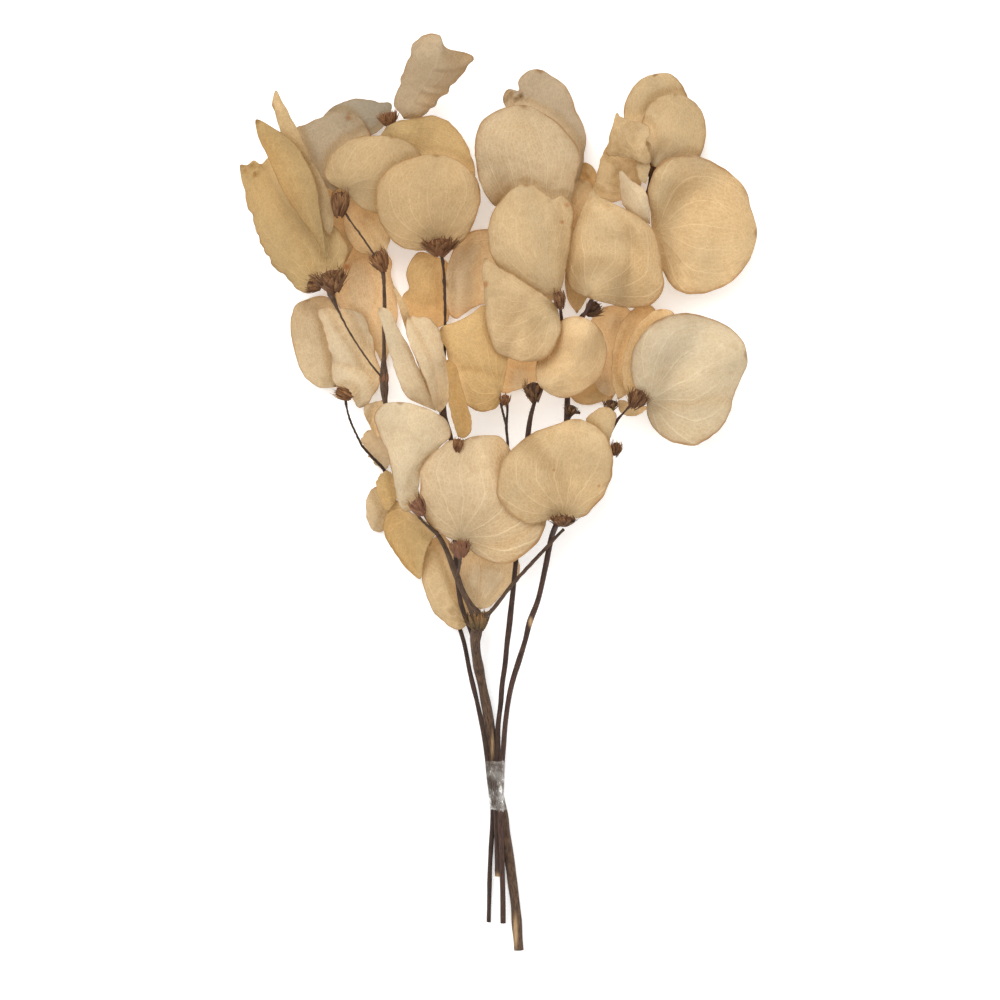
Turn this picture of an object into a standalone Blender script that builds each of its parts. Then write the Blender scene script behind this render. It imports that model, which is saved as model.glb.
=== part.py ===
"""A bunch of dried leaf twigs: five twigs with broad papery leaves, held by a band of tape.

It lies on its back, stem ends towards -Y and leaf tips towards +Y, +Z up.
"""
import math

import bmesh
import bpy
import numpy as np

SHIFT_X, SHIFT_Y, DROP = 0.61, 3.25, 0.1   # mm, sets the box's centre over the origin and its lowest point at z = 0
LEAF_THICK = 0.5     # mm
ROWS, COLUMNS = 7, 5  # faces along and across a leaf
TAPE_TOP, TAPE_FOOT = 762.0, 808.0
TAPE_CLEAR, TAPE_THICK = 0.4, 0.35   # mm

UNIT = 0.44          # mm per plan unit on the surface the bunch lies on
EYE = 1600.0         # mm, height from which the plan is seen
PLAN_X = 498.5       # plan point straight above the origin
PLAN_Y = 491.5
CUP, BOW = 0.70, 0.60  # how much of its edge bend and of its arch a leaf keeps
GAP = 2.8            # mm between the middle surfaces of leaves that lie on one another
CELL = 3.0           # plan units, cell of the grid on which the pieces are stacked
SOFT = 5             # cells over which a leaf rises to clear what it lies on
GRID_X, GRID_Y = 225.0, 20.0
CELLS_X, CELLS_Y = 182, 212

# Each leaf: height at base and at tip, arch, left edge, right edge, crease, tip index,
# then its outline in plan from the base round past the tip and back.
LEAF = {
    "A01": (34, 66, -4, 3, -16, 0.5, 7, [(404, 119), (394, 103), (400, 83), (407, 62), (415, 42), (427, 34), (439, 34.5), (444, 45), (452, 50.5), (462, 51), (473, 58), (462, 74), (441, 98), (421, 117)]),
    "A02": (22, 6, 4, -3, -3, 0.1, 5, [(390, 118), (391, 104), (378, 102), (360, 98.5), (343, 102), (329, 110), (322, 122), (338, 138), (362, 138), (380, 130)]),
    "A03": (30, 14, 4, -6, -5, 0.2, 7, [(334, 192), (318, 180), (304, 155), (297, 127), (306, 124), (320, 118), (335, 112), (350, 113), (362, 120), (369, 132), (370, 145), (355, 170), (343, 185)]),
    "A04": (40, 48, 7, -6, -6, 0.1, 6, [(341, 189), (327, 180), (325, 165), (336, 149), (352, 138.5), (372, 135.5), (392, 137), (408, 142), (421, 155), (424, 180), (412, 205), (390, 215), (362, 208), (348, 195)]),
    "A05": (34, 40, 8, -7, -4, 0.1, 7, [(386, 127), (398, 121), (414, 118.5), (433, 115.5), (447, 121), (459, 132), (470, 152), (475, 178), (462, 196), (440, 198), (415, 185), (395, 165), (380, 140)]),
    "A06": (38, 58, 8, -7, -8, 0.1, 8, [(441, 247), (456, 246), (467, 236), (476, 217), (480.5, 200), (478, 182), (468, 168), (454, 158.5), (437, 154.5), (418, 156.5), (400, 162), (385, 172), (377, 187), (376, 203), (379, 219), (386, 233), (395, 243), (405, 248.5), (417, 250.5), (430, 250)]),
    "A07": (44, 56, -4, 4, 10, 0.3, 7, [(330, 236), (324, 228), (319, 209), (303, 176), (288, 148), (279, 128), (275, 112), (272, 105), (276, 90), (281, 99), (288, 112), (296, 126), (305, 145), (314, 165), (326, 186), (332, 208), (334, 224)]),
    "A08": (38, 20, 8, -6, 6, 0.1, 10, [(322, 287), (304, 293), (290, 281), (276, 268), (267, 256), (261, 243), (256, 229), (250, 211), (245, 195), (242, 179), (240, 165), (247, 165.5), (254, 160), (261, 164), (269, 157), (290, 178), (318, 208), (340, 233), (348, 247), (344, 266), (334, 279)]),
    "A09": (46, 58, -8, 9, 6, 0.2, 9, [(327, 262), (325, 245), (322, 225), (319, 205), (317, 189), (312, 173), (303, 156), (291, 140), (272, 127), (256, 119.5), (257, 133), (262, 145), (269, 160), (277, 178), (285, 195), (299, 216), (316, 238)]),
    "A10": (26, 6, 2, 2, 3, 0.1, 5, [(333, 270), (322, 252), (316, 228), (314, 205), (318, 188), (330, 180), (345, 178), (356, 195), (358, 225), (352, 250), (342, 266)]),
    "A11": (26, 14, 3, -2, 3, 0.1, 5, [(378, 256), (358, 252), (346, 235), (343, 215), (350, 197), (365, 188), (382, 193), (391, 210), (391, 228), (390, 240), (386, 251)]),
    "A12": (14, 8, 4, 3, -2, 0.1, 6, [(384, 368), (372, 345), (352, 325), (336, 300), (332, 270), (342, 248), (360, 240), (380, 247), (392, 262), (391, 275), (394, 287), (398, 310), (392, 340)]),
    "B01": (36, 50, 9, -6, -6, 0.1, 9, [(556, 235), (530, 225), (505, 212), (489, 200), (480, 183), (476, 163), (475, 140), (482, 121), (500, 109.5), (524, 105), (548, 116), (565, 130), (577, 146), (580, 160), (577, 175), (570, 205)]),
    "B02": (24, 10, 7, -4, -6, 0.1, 9, [(572, 200), (545, 180), (525, 130), (506, 108), (503, 98), (508, 89), (519, 91), (518, 82), (527, 71.5), (540, 69.5), (555, 78), (567, 88), (577, 113), (586, 134), (584, 155), (581, 175)]),
    "B03": (40, 54, 8, -7, -7, 0.1, 8, [(558, 296), (525, 290), (505, 275), (491, 255), (488, 235), (491, 215), (500, 202), (512, 189), (527, 184), (542, 191), (553, 198), (563, 195), (572, 205), (572, 228), (569, 250), (565, 272), (562, 287)]),
    "B04": (42, 62, 8, -9, -6, 0.1, 12, [(555, 304), (558, 311), (561, 328), (556, 345), (545, 358), (530, 362), (510, 359), (497, 353), (489, 335), (486, 318), (484, 290), (482, 270), (485, 258), (497, 266), (520, 279), (540, 292)]),
    "B05": (40, 58, 9, -8, -8, 0.1, 13, [(588, 298), (606, 303), (630, 308), (648, 306), (660, 297), (664, 282), (661.5, 264), (659, 246), (652.5, 229), (642, 219), (627, 210), (612, 202.5), (600, 197), (593, 189), (584, 205), (576, 222), (570, 240), (566.5, 262), (566.5, 280), (574, 291)]),
    "B06": (34, 34, 10, -8, -9, 0.05, 10, [(652, 232), (650, 210), (648, 190), (655, 170), (668, 158), (690, 155), (711, 161), (730, 173), (745, 188), (750, 205), (757, 233), (751, 256), (736, 278), (715, 290), (690, 294.5), (672, 286), (663, 272), (657, 250)]),
    "B07": (32, 30, 7, -7, -8, 0.1, 5, [(652, 166), (646, 150), (642, 130), (644, 115), (656, 99), (675, 94), (687, 97), (701, 110), (706, 130), (700, 157), (690, 165), (670, 170)]),
    "B08": (22, 8, 7, -6, -6, 0.1, 6, [(650, 168), (634, 150), (626, 130), (623.5, 112), (630, 92), (640, 80), (655, 74), (670, 74), (680, 82), (687, 96), (685, 120), (670, 145)]),
    "B09": (38, 50, 4, -6, 6, 0.4, 5, [(648, 165), (636, 160), (622, 157), (607, 154), (611, 132), (617, 113), (621, 117), (633, 121), (645, 124), (651, 132), (646, 142), (650, 155)]),
    "B10": (36, 42, 1, 2, -2, 0.3, 4, [(646, 184), (640, 180), (636, 163), (637, 148), (642, 141), (650, 143), (651, 158), (649, 172)]),
    "B11": (28, 16, 3, -6, -6, 0.3, 7, [(640, 188), (630, 196), (618, 202), (604, 200), (592, 191), (597, 175), (602, 155), (608, 146), (622, 148), (636, 154), (643, 165), (643, 178)]),
    "B12": (36, 46, 2, -4, 2, 0.3, 4, [(650, 224), (636, 217), (623, 205), (620, 185), (620, 170), (632, 181), (644, 189), (649, 205)]),
    "B13": (14, 6, 2, -2, -2, 0.1, 5, [(586, 300), (575, 270), (572, 235), (572, 205), (575, 180), (583, 163), (591, 165), (597, 175), (600, 200), (600, 235), (597, 270)]),
    "B15": (24, 16, 3, -4, -4, 0.1, 7, [(577, 314), (568, 300), (565, 280), (567, 250), (569, 225), (566, 205), (570, 186), (582, 180), (592, 184), (595, 205), (593, 240), (590, 270), (587, 297)]),
    "C01": (24, 4, 6, 3, -6, 0.1, 9, [(336, 387), (328, 388), (318, 387), (308, 380), (300, 369), (295, 353), (291, 335), (291, 318), (296, 305), (308, 299), (325, 296), (340, 310), (345, 340), (342, 370)]),
    "C02": (26, 24, 5, -5, -4, 0.2, 9, [(352, 398), (358, 407), (366, 405), (376, 392), (381, 378), (377, 358), (372, 337), (366, 319), (353, 310), (335, 308), (318, 309), (322, 325), (328, 345), (332, 362), (332, 380), (342, 390)]),
    "D01": (46, 68, -3, -10, 6, 0.2, 6, [(436, 411), (420, 404), (405, 395), (398, 378), (391, 358), (385, 335), (379, 308), (389, 310), (397, 326), (407, 343), (416, 362), (424, 380), (431, 397)]),
    "D02": (46, 66, 4, -6, 5, 0.4, 8, [(440, 413), (448, 402), (450, 385), (447, 365), (443, 345), (438, 328), (427, 317), (418, 317.5), (409, 316), (406, 330), (412, 350), (422, 372), (430, 394), (435, 409)]),
    "D03": (42, 58, 2, 4, -4, 0.3, 4, [(434, 405), (420, 370), (407, 335), (400, 310), (393, 285), (401, 296), (408, 312), (412, 335), (425, 370)]),
    "D04": (58, 66, 0, -6, 7, 0.2, 4, [(458, 437), (454, 425), (449, 405), (449, 385), (447, 360), (455, 365), (463, 392), (471, 418), (471, 431), (465, 438)]),
    "E01": (22, 4, 8, -5, -6, 0.1, 8, [(436, 256), (419, 252), (410, 262), (406, 274), (409, 288), (402, 297), (405, 312), (418, 322), (435, 328), (447, 322), (450, 300), (450, 275), (447, 262)]),
    "E02": (24, 14, 6, -5, -6, 0.1, 7, [(556, 298), (530, 312), (500, 305), (484, 304), (468, 311), (455, 319), (447, 308), (445, 285), (448, 264), (455, 247), (466, 234), (485, 229), (510, 235), (540, 265)]),
    "E03": (36, 40, 7, -5, -6, 0.1, 8, [(501, 394), (500, 402), (493, 410), (475, 410.5), (467, 404), (461, 392), (453, 375), (446, 350), (440, 329), (455, 322), (470, 315), (484, 305), (500, 320), (508, 350), (505, 378)]),
    "E04": (16, 8, 4, -4, -4, 0.1, 6, [(530, 386), (520, 389), (505, 393), (496, 388), (488, 370), (485, 345), (495, 325), (520, 320), (545, 335), (550, 355), (543, 370), (537, 380)]),
    "F01": (36, 50, 9, -7, -7, 0.1, 8, [(541, 388), (552, 395), (568, 398), (585, 390), (600, 376), (607, 357), (604, 337), (595, 324), (580, 316.5), (566, 318), (555, 326), (546, 338), (539, 352), (536, 368), (536, 379)]),
    "F02": (16, 6, 4, -4, -3, 0.1, 5, [(612, 398), (600, 392), (590, 370), (588, 340), (592, 318), (605, 307), (622, 306), (632, 312), (622, 335), (617, 360), (618, 385)]),
    "F03": (34, 32, 4, -4, -3, 0.2, 5, [(618, 400), (612, 380), (613, 350), (620, 325), (632, 310), (646, 304), (655, 309), (650, 325), (640, 345), (632, 370), (628, 392)]),
    "F04": (38, 36, 4, -4, -3, 0.2, 5, [(628, 398), (622, 380), (624, 355), (632, 333), (645, 317), (660, 309), (674, 313), (668, 330), (650, 355), (640, 385)]),
    "F05": (40, 46, 10, -8, -9, 0.05, 12, [(647, 402), (647, 414), (655, 430), (668, 440), (684, 445), (692, 446), (708, 439), (722, 427), (729, 414), (734, 396), (740, 380), (747, 366), (747, 355), (744, 343), (730, 328), (715, 320), (695, 314), (675, 314), (656, 321), (641, 335), (632, 353), (631, 372), (636, 390)]),
    "F06": (12, 4, 2, -2, -2, 0.1, 5, [(612, 400), (600, 402.5), (588, 405), (574, 401), (568, 385), (580, 360), (600, 350), (615, 365), (618, 385)]),
    "F07": (30, 24, 1, -2, -2, 0.1, 4, [(634, 405), (620, 400), (619, 410), (628, 416), (640, 414), (647, 407)]),
    "G01": (38, 60, 10, -8, -8, 0.1, 8, [(563, 518), (583, 517), (592, 509), (604, 495), (612, 474), (613, 460), (609, 441), (600, 429), (578, 419), (560, 423), (535, 432), (518, 444), (505, 457), (498, 478), (497, 495), (507, 510), (527, 524), (549, 520)]),
    "G02": (34, 42, 2, -3, -3, 0.2, 4, [(609, 445), (590, 428), (586, 420), (596, 410), (607, 407), (616, 414), (615, 424), (611, 436)]),
    "H01": (38, 54, 6, 3, -8, 0.1, 9, [(418, 500), (419, 485), (422, 468), (430, 456), (440, 447), (450, 437), (449, 425), (440, 415), (420, 406), (400, 402), (382, 405), (374, 418), (380, 436), (387, 452), (393, 478), (398, 502), (403, 511), (412, 510)]),
    "H02": (38, 58, 11, -8, -9, 0.1, 10, [(460, 541), (448, 538), (437, 531), (427, 519), (421, 500), (420, 480), (424, 463), (438, 449), (450, 441), (461, 440), (475, 436), (490, 435), (501, 437), (509, 448), (520, 465), (540, 490), (546, 515), (545, 528), (535, 545), (522, 557), (511, 563), (495, 563), (478, 556)]),
    "I01": (28, 26, 2, -3, -3, 0.1, 4, [(387, 470), (379, 476), (376, 487), (380, 500), (387, 511), (397, 497), (396, 485), (392, 474)]),
    "I02": (26, 16, -5, 8, 8, 0.1, 6, [(422, 518), (433, 528), (436, 533), (428, 546), (424, 560), (422, 574), (420, 579), (408, 570), (395, 553), (386, 538), (383, 525), (388, 511), (398, 500), (410, 512)]),
    "I03": (15, 5, 4, -3, -4, 0.1, 7, [(470, 622), (459, 630), (448, 625), (434, 612), (427, 597), (422, 578), (424, 558), (430, 543), (440, 534), (452, 545), (462, 570), (468, 598)]),
    "I04": (12, 6, 3, -3, -3, 0.2, 4, [(479, 609), (468, 600), (460, 578), (462, 555), (480, 535), (505, 540), (519, 562), (519, 573), (511, 585), (498, 599), (487, 608)]),
    "I05": (14, 5, 3, -3, -3, 0.1, 5, [(392, 500), (376, 487), (368, 495), (366, 508), (368, 522), (374, 531), (383, 531), (390, 515)]),
    "J01": (14, 6, 2, -2, -2, 0.1, 4, [(386, 470), (376, 465), (366, 450), (361, 441), (367, 431), (378, 430), (388, 448), (390, 462)]),
    "J02": (24, 20, 1, 2, -3, 0.2, 3, [(382, 400), (364, 407), (371, 428), (380, 438), (385, 425), (384, 405)]),
}

# Each run of stem: the stem it belongs to, the run it leaves, then its points: plan x, y, radius mm, height mm.
STEM = {
    "a.main": ("a", None, [(488.8, 922, 1.0, 1.15), (490, 870, 1.0, 2.8), (492.5, 810, 1.0, 5.0), (490, 786, 1.0, 7.2), (487.5, 762, 1.0, 8.4), (484, 738, 1.0, 9.1), (480, 715, 1.0, 9.6), (470, 672, 1.0, 9.5), (460, 629, 1.0, 6.5), (436, 575, 0.9, 3.5), (415, 538, 0.9, 3.0), (398, 508, 0.85, 3.5), (389, 487, 0.8, 6.0)]),
    "a.low": ("a", "a.main", [(389, 487, 0.8, 6.0), (384, 470, 0.7, 8), (373, 458, 0.6, 14), (362, 446, 0.5, 19)]),
    "a.top": ("a", "a.low", [(362, 446, 0.5, 19), (350, 420, 0.5, 26), (346, 404, 0.6, 31), (345, 393, 1.9, 33)]),
    "b.main": ("b", None, [(519, 950, 2.1, 2.2), (515, 900, 2.2, 2.9), (508.7, 855, 2.15, 4.0), (502, 810, 2.0, 5.3), (496.5, 786, 2.0, 5.3), (491.5, 762, 2.0, 5.3), (488.5, 722, 2.0, 6.2), (484, 694, 2.0, 7.5), (478.5, 668, 2.1, 9.6), (475, 642, 2.2, 13.5), (478, 620, 3.3, 18), (471, 607, 1.6, 20), (463, 592, 1.25, 21.5), (457, 577, 1.3, 23), (446, 549, 1.05, 25), (440, 538, 1.0, 26), (434, 529, 1.0, 27)]),
    "b.mid": ("b", "b.main", [(434, 529, 1.0, 27), (425, 514, 0.95, 29), (414, 485, 0.95, 29), (400, 440, 0.9, 29), (386, 404, 1.0, 29), (384, 380, 1.9, 29.5), (384, 355, 0.9, 30), (384, 330, 0.85, 30.5), (384.5, 307, 0.8, 31), (384, 284, 0.75, 32)]),
    "b.k3": ("b", "b.mid", [(384, 284, 0.8, 32), (383, 273, 1.0, 33), (379, 262, 2.2, 34)]),
    "b.k2": ("b", "b.k3", [(379, 262, 0.5, 34), (371, 250, 0.45, 34), (360, 234, 0.45, 35), (349, 219, 0.5, 37), (340, 203, 2.2, 39)]),
    "b.k4": ("b", "b.mid", [(384, 380, 0.5, 29.5), (370, 363, 0.42, 32), (350, 333, 0.42, 35), (338, 310, 0.6, 40), (331, 294, 1.6, 46), (328, 283, 3.0, 48)]),
    "c.k1": ("c", "c.main", [(445, 340, 0.6, 29), (445, 300, 0.55, 29), (443, 265, 0.55, 30), (436, 238, 0.55, 30), (415, 190, 0.55, 30), (398, 148, 0.6, 30), (391, 122, 2.0, 30)]),
    "b.k15": ("b", "b.main", [(438, 535, 0.7, 26), (429, 527, 0.6, 31), (420, 518, 0.6, 38), (415.5, 508, 1.9, 44)]),
    "b.k16": ("b", "b.main", [(456, 578, 0.65, 23), (458.5, 571, 0.6, 29), (460, 563, 0.6, 36), (460, 550, 2.2, 45)]),
    "b.right": ("b", "b.main", [(478, 620, 1.0, 18), (490, 612, 0.9, 20), (500, 600, 0.85, 23), (511, 586, 0.8, 26), (530, 565, 0.8, 28), (546, 548, 0.75, 31), (556, 537, 0.7, 32), (564, 529, 0.65, 32.5)]),
    "c.main": ("c", None, [(500, 868, 0.9, 2.0), (498, 810, 1.1, 2.1), (497, 762, 1.15, 2.1), (495, 745, 1.15, 2.1), (491.5, 720, 1.15, 2.4), (487.5, 700, 1.15, 3.2), (481, 675, 1.15, 4.4), (474, 640, 1.15, 8), (460, 600, 0.95, 13), (455, 540, 0.95, 20), (452, 480, 0.95, 24), (451, 440, 1.0, 26), (443, 415, 1.6, 27), (444, 375, 0.7, 28), (445, 340, 0.6, 29)]),
    "c.k6": ("c", "c.main", [(445, 340, 0.6, 29), (445, 310, 0.55, 31), (444, 280, 0.55, 35), (443, 262, 0.7, 40), (440, 250, 2.4, 45)]),
    "d.main": ("d", None, [(498.6, 876, 1.6, 4.7), (498.0, 855, 1.45, 5.3), (497.0, 833, 1.25, 6.4), (496.3, 810, 1.15, 7.8), (496.6, 786, 1.15, 9.0), (497, 762, 1.15, 8.0), (497.5, 745, 1.15, 7.8), (498, 730, 1.15, 8), (502, 690, 1.15, 10), (507, 645, 1.15, 14), (511, 612, 1.2, 17), (513.5, 586, 1.1, 20), (515, 570, 1.1, 22), (517, 545, 1.1, 24), (522, 500, 1.1, 27), (528, 436, 1.1, 29), (531, 415, 1.0, 31), (535, 400, 1.0, 34), (537, 390, 2.0, 36)]),
    "d.k7": ("d", "d.main", [(517, 545, 0.8, 24), (510, 490, 0.7, 27), (508, 448, 0.6, 30), (506.5, 425, 0.6, 34), (507.5, 410, 0.55, 38), (507, 400, 1.3, 41)]),
    "d.k7b": ("d", "d.k7", [(506.5, 426, 0.6, 34), (503, 413, 0.5, 36), (500.5, 403, 0.5, 37.5)]),
    "e.main": ("e", None, [(503, 923, 1.15, 4.5), (502.8, 893, 1.15, 6.5), (502, 860, 1.1, 8.5), (500.5, 810, 1.15, 10.4), (501.2, 786, 1.15, 11.2), (502, 762, 1.15, 10.4), (503.5, 745, 1.15, 10), (505.5, 720, 1.15, 10), (508.5, 700, 1.2, 10.5), (513, 680, 1.2, 11.2), (519, 660, 1.2, 12.4), (525.5, 640, 1.2, 14), (530, 622, 1.4, 16), (538, 600, 1.2, 18), (545, 568, 1.2, 21), (552, 535, 1.2, 24), (556, 525, 1.3, 25), (563, 505, 1.3, 27), (566, 470, 1.3, 28), (567, 421, 1.8, 29), (567.5, 397, 1.75, 29), (570, 365, 1.0, 30), (574, 335, 0.9, 32), (580, 318, 0.8, 36), (593, 308, 2.3, 42)]),
    "e.k17": ("e", "e.main", [(552, 536, 0.9, 24), (554.5, 530, 0.8, 31), (558, 524.5, 0.8, 38), (561, 520.5, 1.6, 43)]),
    "e.low9": ("e", "e.main", [(570, 365, 0.8, 30), (565, 340, 0.7, 32), (561, 315, 0.7, 34)]),
    "e.k9": ("e", "e.low9", [(561, 315, 0.7, 34), (560.5, 309, 0.7, 41), (560, 299, 1.7, 48)]),
    "e.k14": ("e", "e.main", [(574, 335, 0.8, 32), (600, 285, 0.7, 31), (630, 235, 0.65, 31), (646, 195, 0.65, 33), (650, 182, 0.8, 38), (651, 170, 1.6, 42)]),
    "e.k18": ("e", "e.main", [(570, 365, 0.7, 30), (558, 330, 0.65, 31), (555, 290, 0.6, 32), (556, 250, 0.6, 32), (556, 236, 1.5, 33)]),
    "e.k13": ("e", "e.main", [(567, 450, 0.9, 29), (588, 442, 0.8, 29), (602, 426, 0.75, 30), (611, 406, 1.5, 31)]),
    "e.stub": ("e", "e.main", [(567, 421, 0.9, 29), (573, 412, 0.9, 30), (580, 413, 0.6, 31)]),
    "e.low11": ("e", "e.main", [(566, 470, 0.8, 28), (590, 460, 0.75, 28), (606, 440, 0.65, 29), (618, 419, 0.6, 32)]),
    "e.k11": ("e", "e.low11", [(618, 419, 0.6, 32), (628, 408, 0.55, 38), (636, 400, 2.4, 46)]),
    "e.k12": ("e", "e.main", [(566, 470, 0.8, 28), (590, 462, 0.7, 28), (603, 457, 0.6, 30), (614, 450, 1.3, 33)]),
}

# From the surface upwards: what lies on what.
ORDER = """a.main A02 B08 B13 F06 E04 F02 J01 a.low I05 I03 I04 A12 A10 A03 C01 E01 B02 B15 E02 A11 I02 I01 C02 J02 B11 A08
c.main b.main a.top b.mid d.main e.main b.right e.k18 e.k14 e.k13 e.k12 e.low9 e.low11 e.stub c.k1 b.k3
F03 F04 F07 G02 B07 A01 A05 A04 A06 A07 A09 c.k6 b.k2 b.k4 B10 B09 B06 B12 B05
E03 F01 F05 e.k11 B01 B03 B04 e.k9 d.k7 d.k7b D03 D01 D02 H01 H02 G01 b.k15 b.k16 e.k17 D04""".split()


def through(points, count, steps=16):
    """A smooth curve through the points, read at count even steps of its length."""
    p = np.array(points, float)
    p = np.vstack([2 * p[0] - p[1], p, 2 * p[-1] - p[-2]])
    t = np.linspace(0, 1, steps, endpoint=False)[:, None]
    out = []
    for a, b, c, d in zip(p, p[1:], p[2:], p[3:]):
        ta, tb, tc = (max(float(np.linalg.norm((y - x)[:2])), 1e-6) ** 0.5 for x, y in ((a, b), (b, c), (c, d)))
        m1 = ((c - b) / tb - (c - a) / (ta + tb) + (b - a) / ta) * tb
        m2 = ((d - c) / tc - (d - b) / (tb + tc) + (c - b) / tb) * tb
        out.append((2 * t**3 - 3 * t**2 + 1) * b + (t**3 - 2 * t**2 + t) * m1 + (3 * t**2 - 2 * t**3) * c + (t**3 - t**2) * m2)
    out = np.vstack(out + [p[-2:-1]])
    return even(out, count)


def even(line, count, ease=False):
    run = np.concatenate([[0], np.cumsum(np.linalg.norm(np.diff(line[:, :2], axis=0), axis=1))])
    at = np.linspace(0, 1, count) if not ease else 0.5 - 0.5 * np.cos(np.linspace(0, math.pi, count))
    return np.stack([np.interp(at * run[-1], run, line[:, k]) for k in range(line.shape[1])], 1)


def fan(outline, tip, left, right, s, v):
    """Rows across a leaf from left to right, bowed so that they spread from the base like its veins."""
    foot, crown = np.array(outline[0], float), np.array(outline[tip], float)
    axis = (crown - foot) / np.linalg.norm(crown - foot)
    middle = (left + right) / 2
    lag = ((foot + (crown - foot) * s[:, None] - middle) @ axis)[:, None] * axis
    return (left[:, None] * (1 - v[None, :, None]) / 2 + right[:, None] * (1 + v[None, :, None]) / 2
            + lag[:, None] * (1 - v * v)[None, :, None])


def leaf_sheet(name, rows, columns, inset=0.0):
    """Plan points and heights of a leaf's middle surface, before it is stacked."""
    base, top, arch, edge_l, edge_r, crease, tip, outline = LEAF[name]
    fine = through(outline + [outline[0]], 900)
    turn = int(np.argmin(np.linalg.norm(fine - np.array(outline[tip], float), axis=1)))
    left = even(fine[: turn + 1], 400)
    right = even(fine[turn:][::-1], 400)
    s = 0.5 - 0.5 * np.cos(math.pi * np.linspace(inset, 1 - inset, rows + 1))
    at = np.linspace(0, 1, 400)
    left = np.stack([np.interp(s, at, left[:, k]) for k in (0, 1)], 1)
    right = np.stack([np.interp(s, at, right[:, k]) for k in (0, 1)], 1)
    v = np.linspace(-1, 1, columns + 1)
    wide = np.linalg.norm(right - left, axis=1)
    w = np.minimum(wide / 60.0, 1.0)
    plan = fan(outline, tip, left, right, s, v)
    bend = crease * np.abs(v) + (1 - crease) * v * v
    side = np.where(v < 0, edge_l, edge_r)
    z = base + (top - base) * s[:, None] + BOW * arch * 4 * (s * (1 - s))[:, None] + w[:, None] * (bend * side * CUP)[None, :]
    return plan, z


def cells(plan):
    i = np.clip(((plan[..., 0] - GRID_X) / CELL).astype(int), 0, CELLS_X - 1)
    j = np.clip(((plan[..., 1] - GRID_Y) / CELL).astype(int), 0, CELLS_Y - 1)
    return i, j


def widen(field, reach):
    for axis in (0, 1):
        field = np.max([np.roll(field, k, axis) for k in range(-reach, reach + 1)], axis=0)
    return field


def blur(field, reach):
    for axis in (0, 1):
        field = np.mean([np.roll(field, k, axis) for k in range(-reach, reach + 1)], axis=0)
    return field


def look(field, plan):
    x = np.clip((plan[..., 0] - GRID_X) / CELL - 0.5, 0, CELLS_X - 1.001)
    y = np.clip((plan[..., 1] - GRID_Y) / CELL - 0.5, 0, CELLS_Y - 1.001)
    i, j = x.astype(int), y.astype(int)
    a, b = x - i, y - j
    return (field[i, j] * (1 - a) + field[i + 1, j] * a) * (1 - b) + (field[i, j + 1] * (1 - a) + field[i + 1, j + 1] * a) * b


def stack():
    """Lays the pieces on one another in order. Gives each leaf's rise and each stem run's path."""
    high = np.zeros((CELLS_X, CELLS_Y))
    rise, runs = {}, {}
    for name in ORDER:
        if name in LEAF:
            plan, z = leaf_sheet(name, 70, 70)
            low = np.full_like(high, 1e9)
            i, j = cells(plan)
            np.minimum.at(low, (i, j), z)
            inside = low < 1e8
            under = np.where(high > 0, high + GAP, 0.35)
            need = np.where(inside, under - low, -1e9)
            first = need[inside].max()
            # The whole leaf moves up by part of what it needs, and the rest of the way it bends.
            flat = max(float(np.percentile(need[inside], 35)) if first > 0 else float(first), -14.0)
            field = np.where(inside, np.maximum(need - flat, 0), 0)
            field = blur(blur(widen(field, SOFT), SOFT // 2 + 1), SOFT // 2 + 1) + flat
            rise[name] = field
            z = z + look(field, plan)
            top = np.zeros_like(high)
            np.maximum.at(top, (i, j), z)
            high = np.maximum(high, top)
        else:
            stem, parent, points = STEM[name]
            pts = np.array(points, float)
            line = through(points, int(np.linalg.norm(np.diff(pts[:, :2], axis=0), axis=1).sum() / 2) + 2)
            if parent:
                other = runs[parent]
                near = int(np.argmin(np.linalg.norm(other[:, :2] - line[0, :2], axis=1)))
                start = other[near, 3] - line[0, 3]
                away = np.arange(len(line)) * 2.0
                line[:, 3] += start * np.clip(1 - away / 40, 0, 1)
            inside = line[:, 1] < GRID_Y + CELL * CELLS_Y - 6
            around = widen(high, 1)
            i, j = cells(line[:, :2])
            need = np.where(inside & (around[i, j] > 0), around[i, j] + GAP - 0.9 + line[:, 2] - line[:, 3], 0)
            need = np.maximum(need, 0)
            if parent:
                need[:4] = 0
            n = 8
            wide = np.max([np.concatenate([np.zeros(max(k, 0)), need, np.zeros(max(-k, 0))])[max(-k, 0):][: len(need)] for k in range(-n, n + 1)], axis=0)
            soft = np.convolve(np.pad(wide, n, mode="edge"), np.ones(2 * n + 1) / (2 * n + 1), "valid")
            if parent:
                soft *= np.clip(np.arange(len(soft)) / 6.0, 0, 1)
            line[:, 3] += soft
            runs[name] = line
            for x, y, r, z in line[inside]:
                k = int(math.ceil(r / UNIT / CELL))
                ci, cj = int((x - GRID_X) / CELL), int((y - GRID_Y) / CELL)
                for a in range(-k, k + 1):
                    for b in range(-k, k + 1):
                        if 0 <= ci + a < CELLS_X and 0 <= cj + b < CELLS_Y:
                            high[ci + a, cj + b] = max(high[ci + a, cj + b], z + r)
    return rise, runs, high


def place(plan, z):
    """Plan points and heights in mm to metres in the object's frame."""
    scale = UNIT * (EYE - z) / EYE
    return np.stack([(plan[..., 0] - PLAN_X) * scale + SHIFT_X, (PLAN_Y - plan[..., 1]) * scale + SHIFT_Y, z - DROP], -1) / 1000


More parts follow.
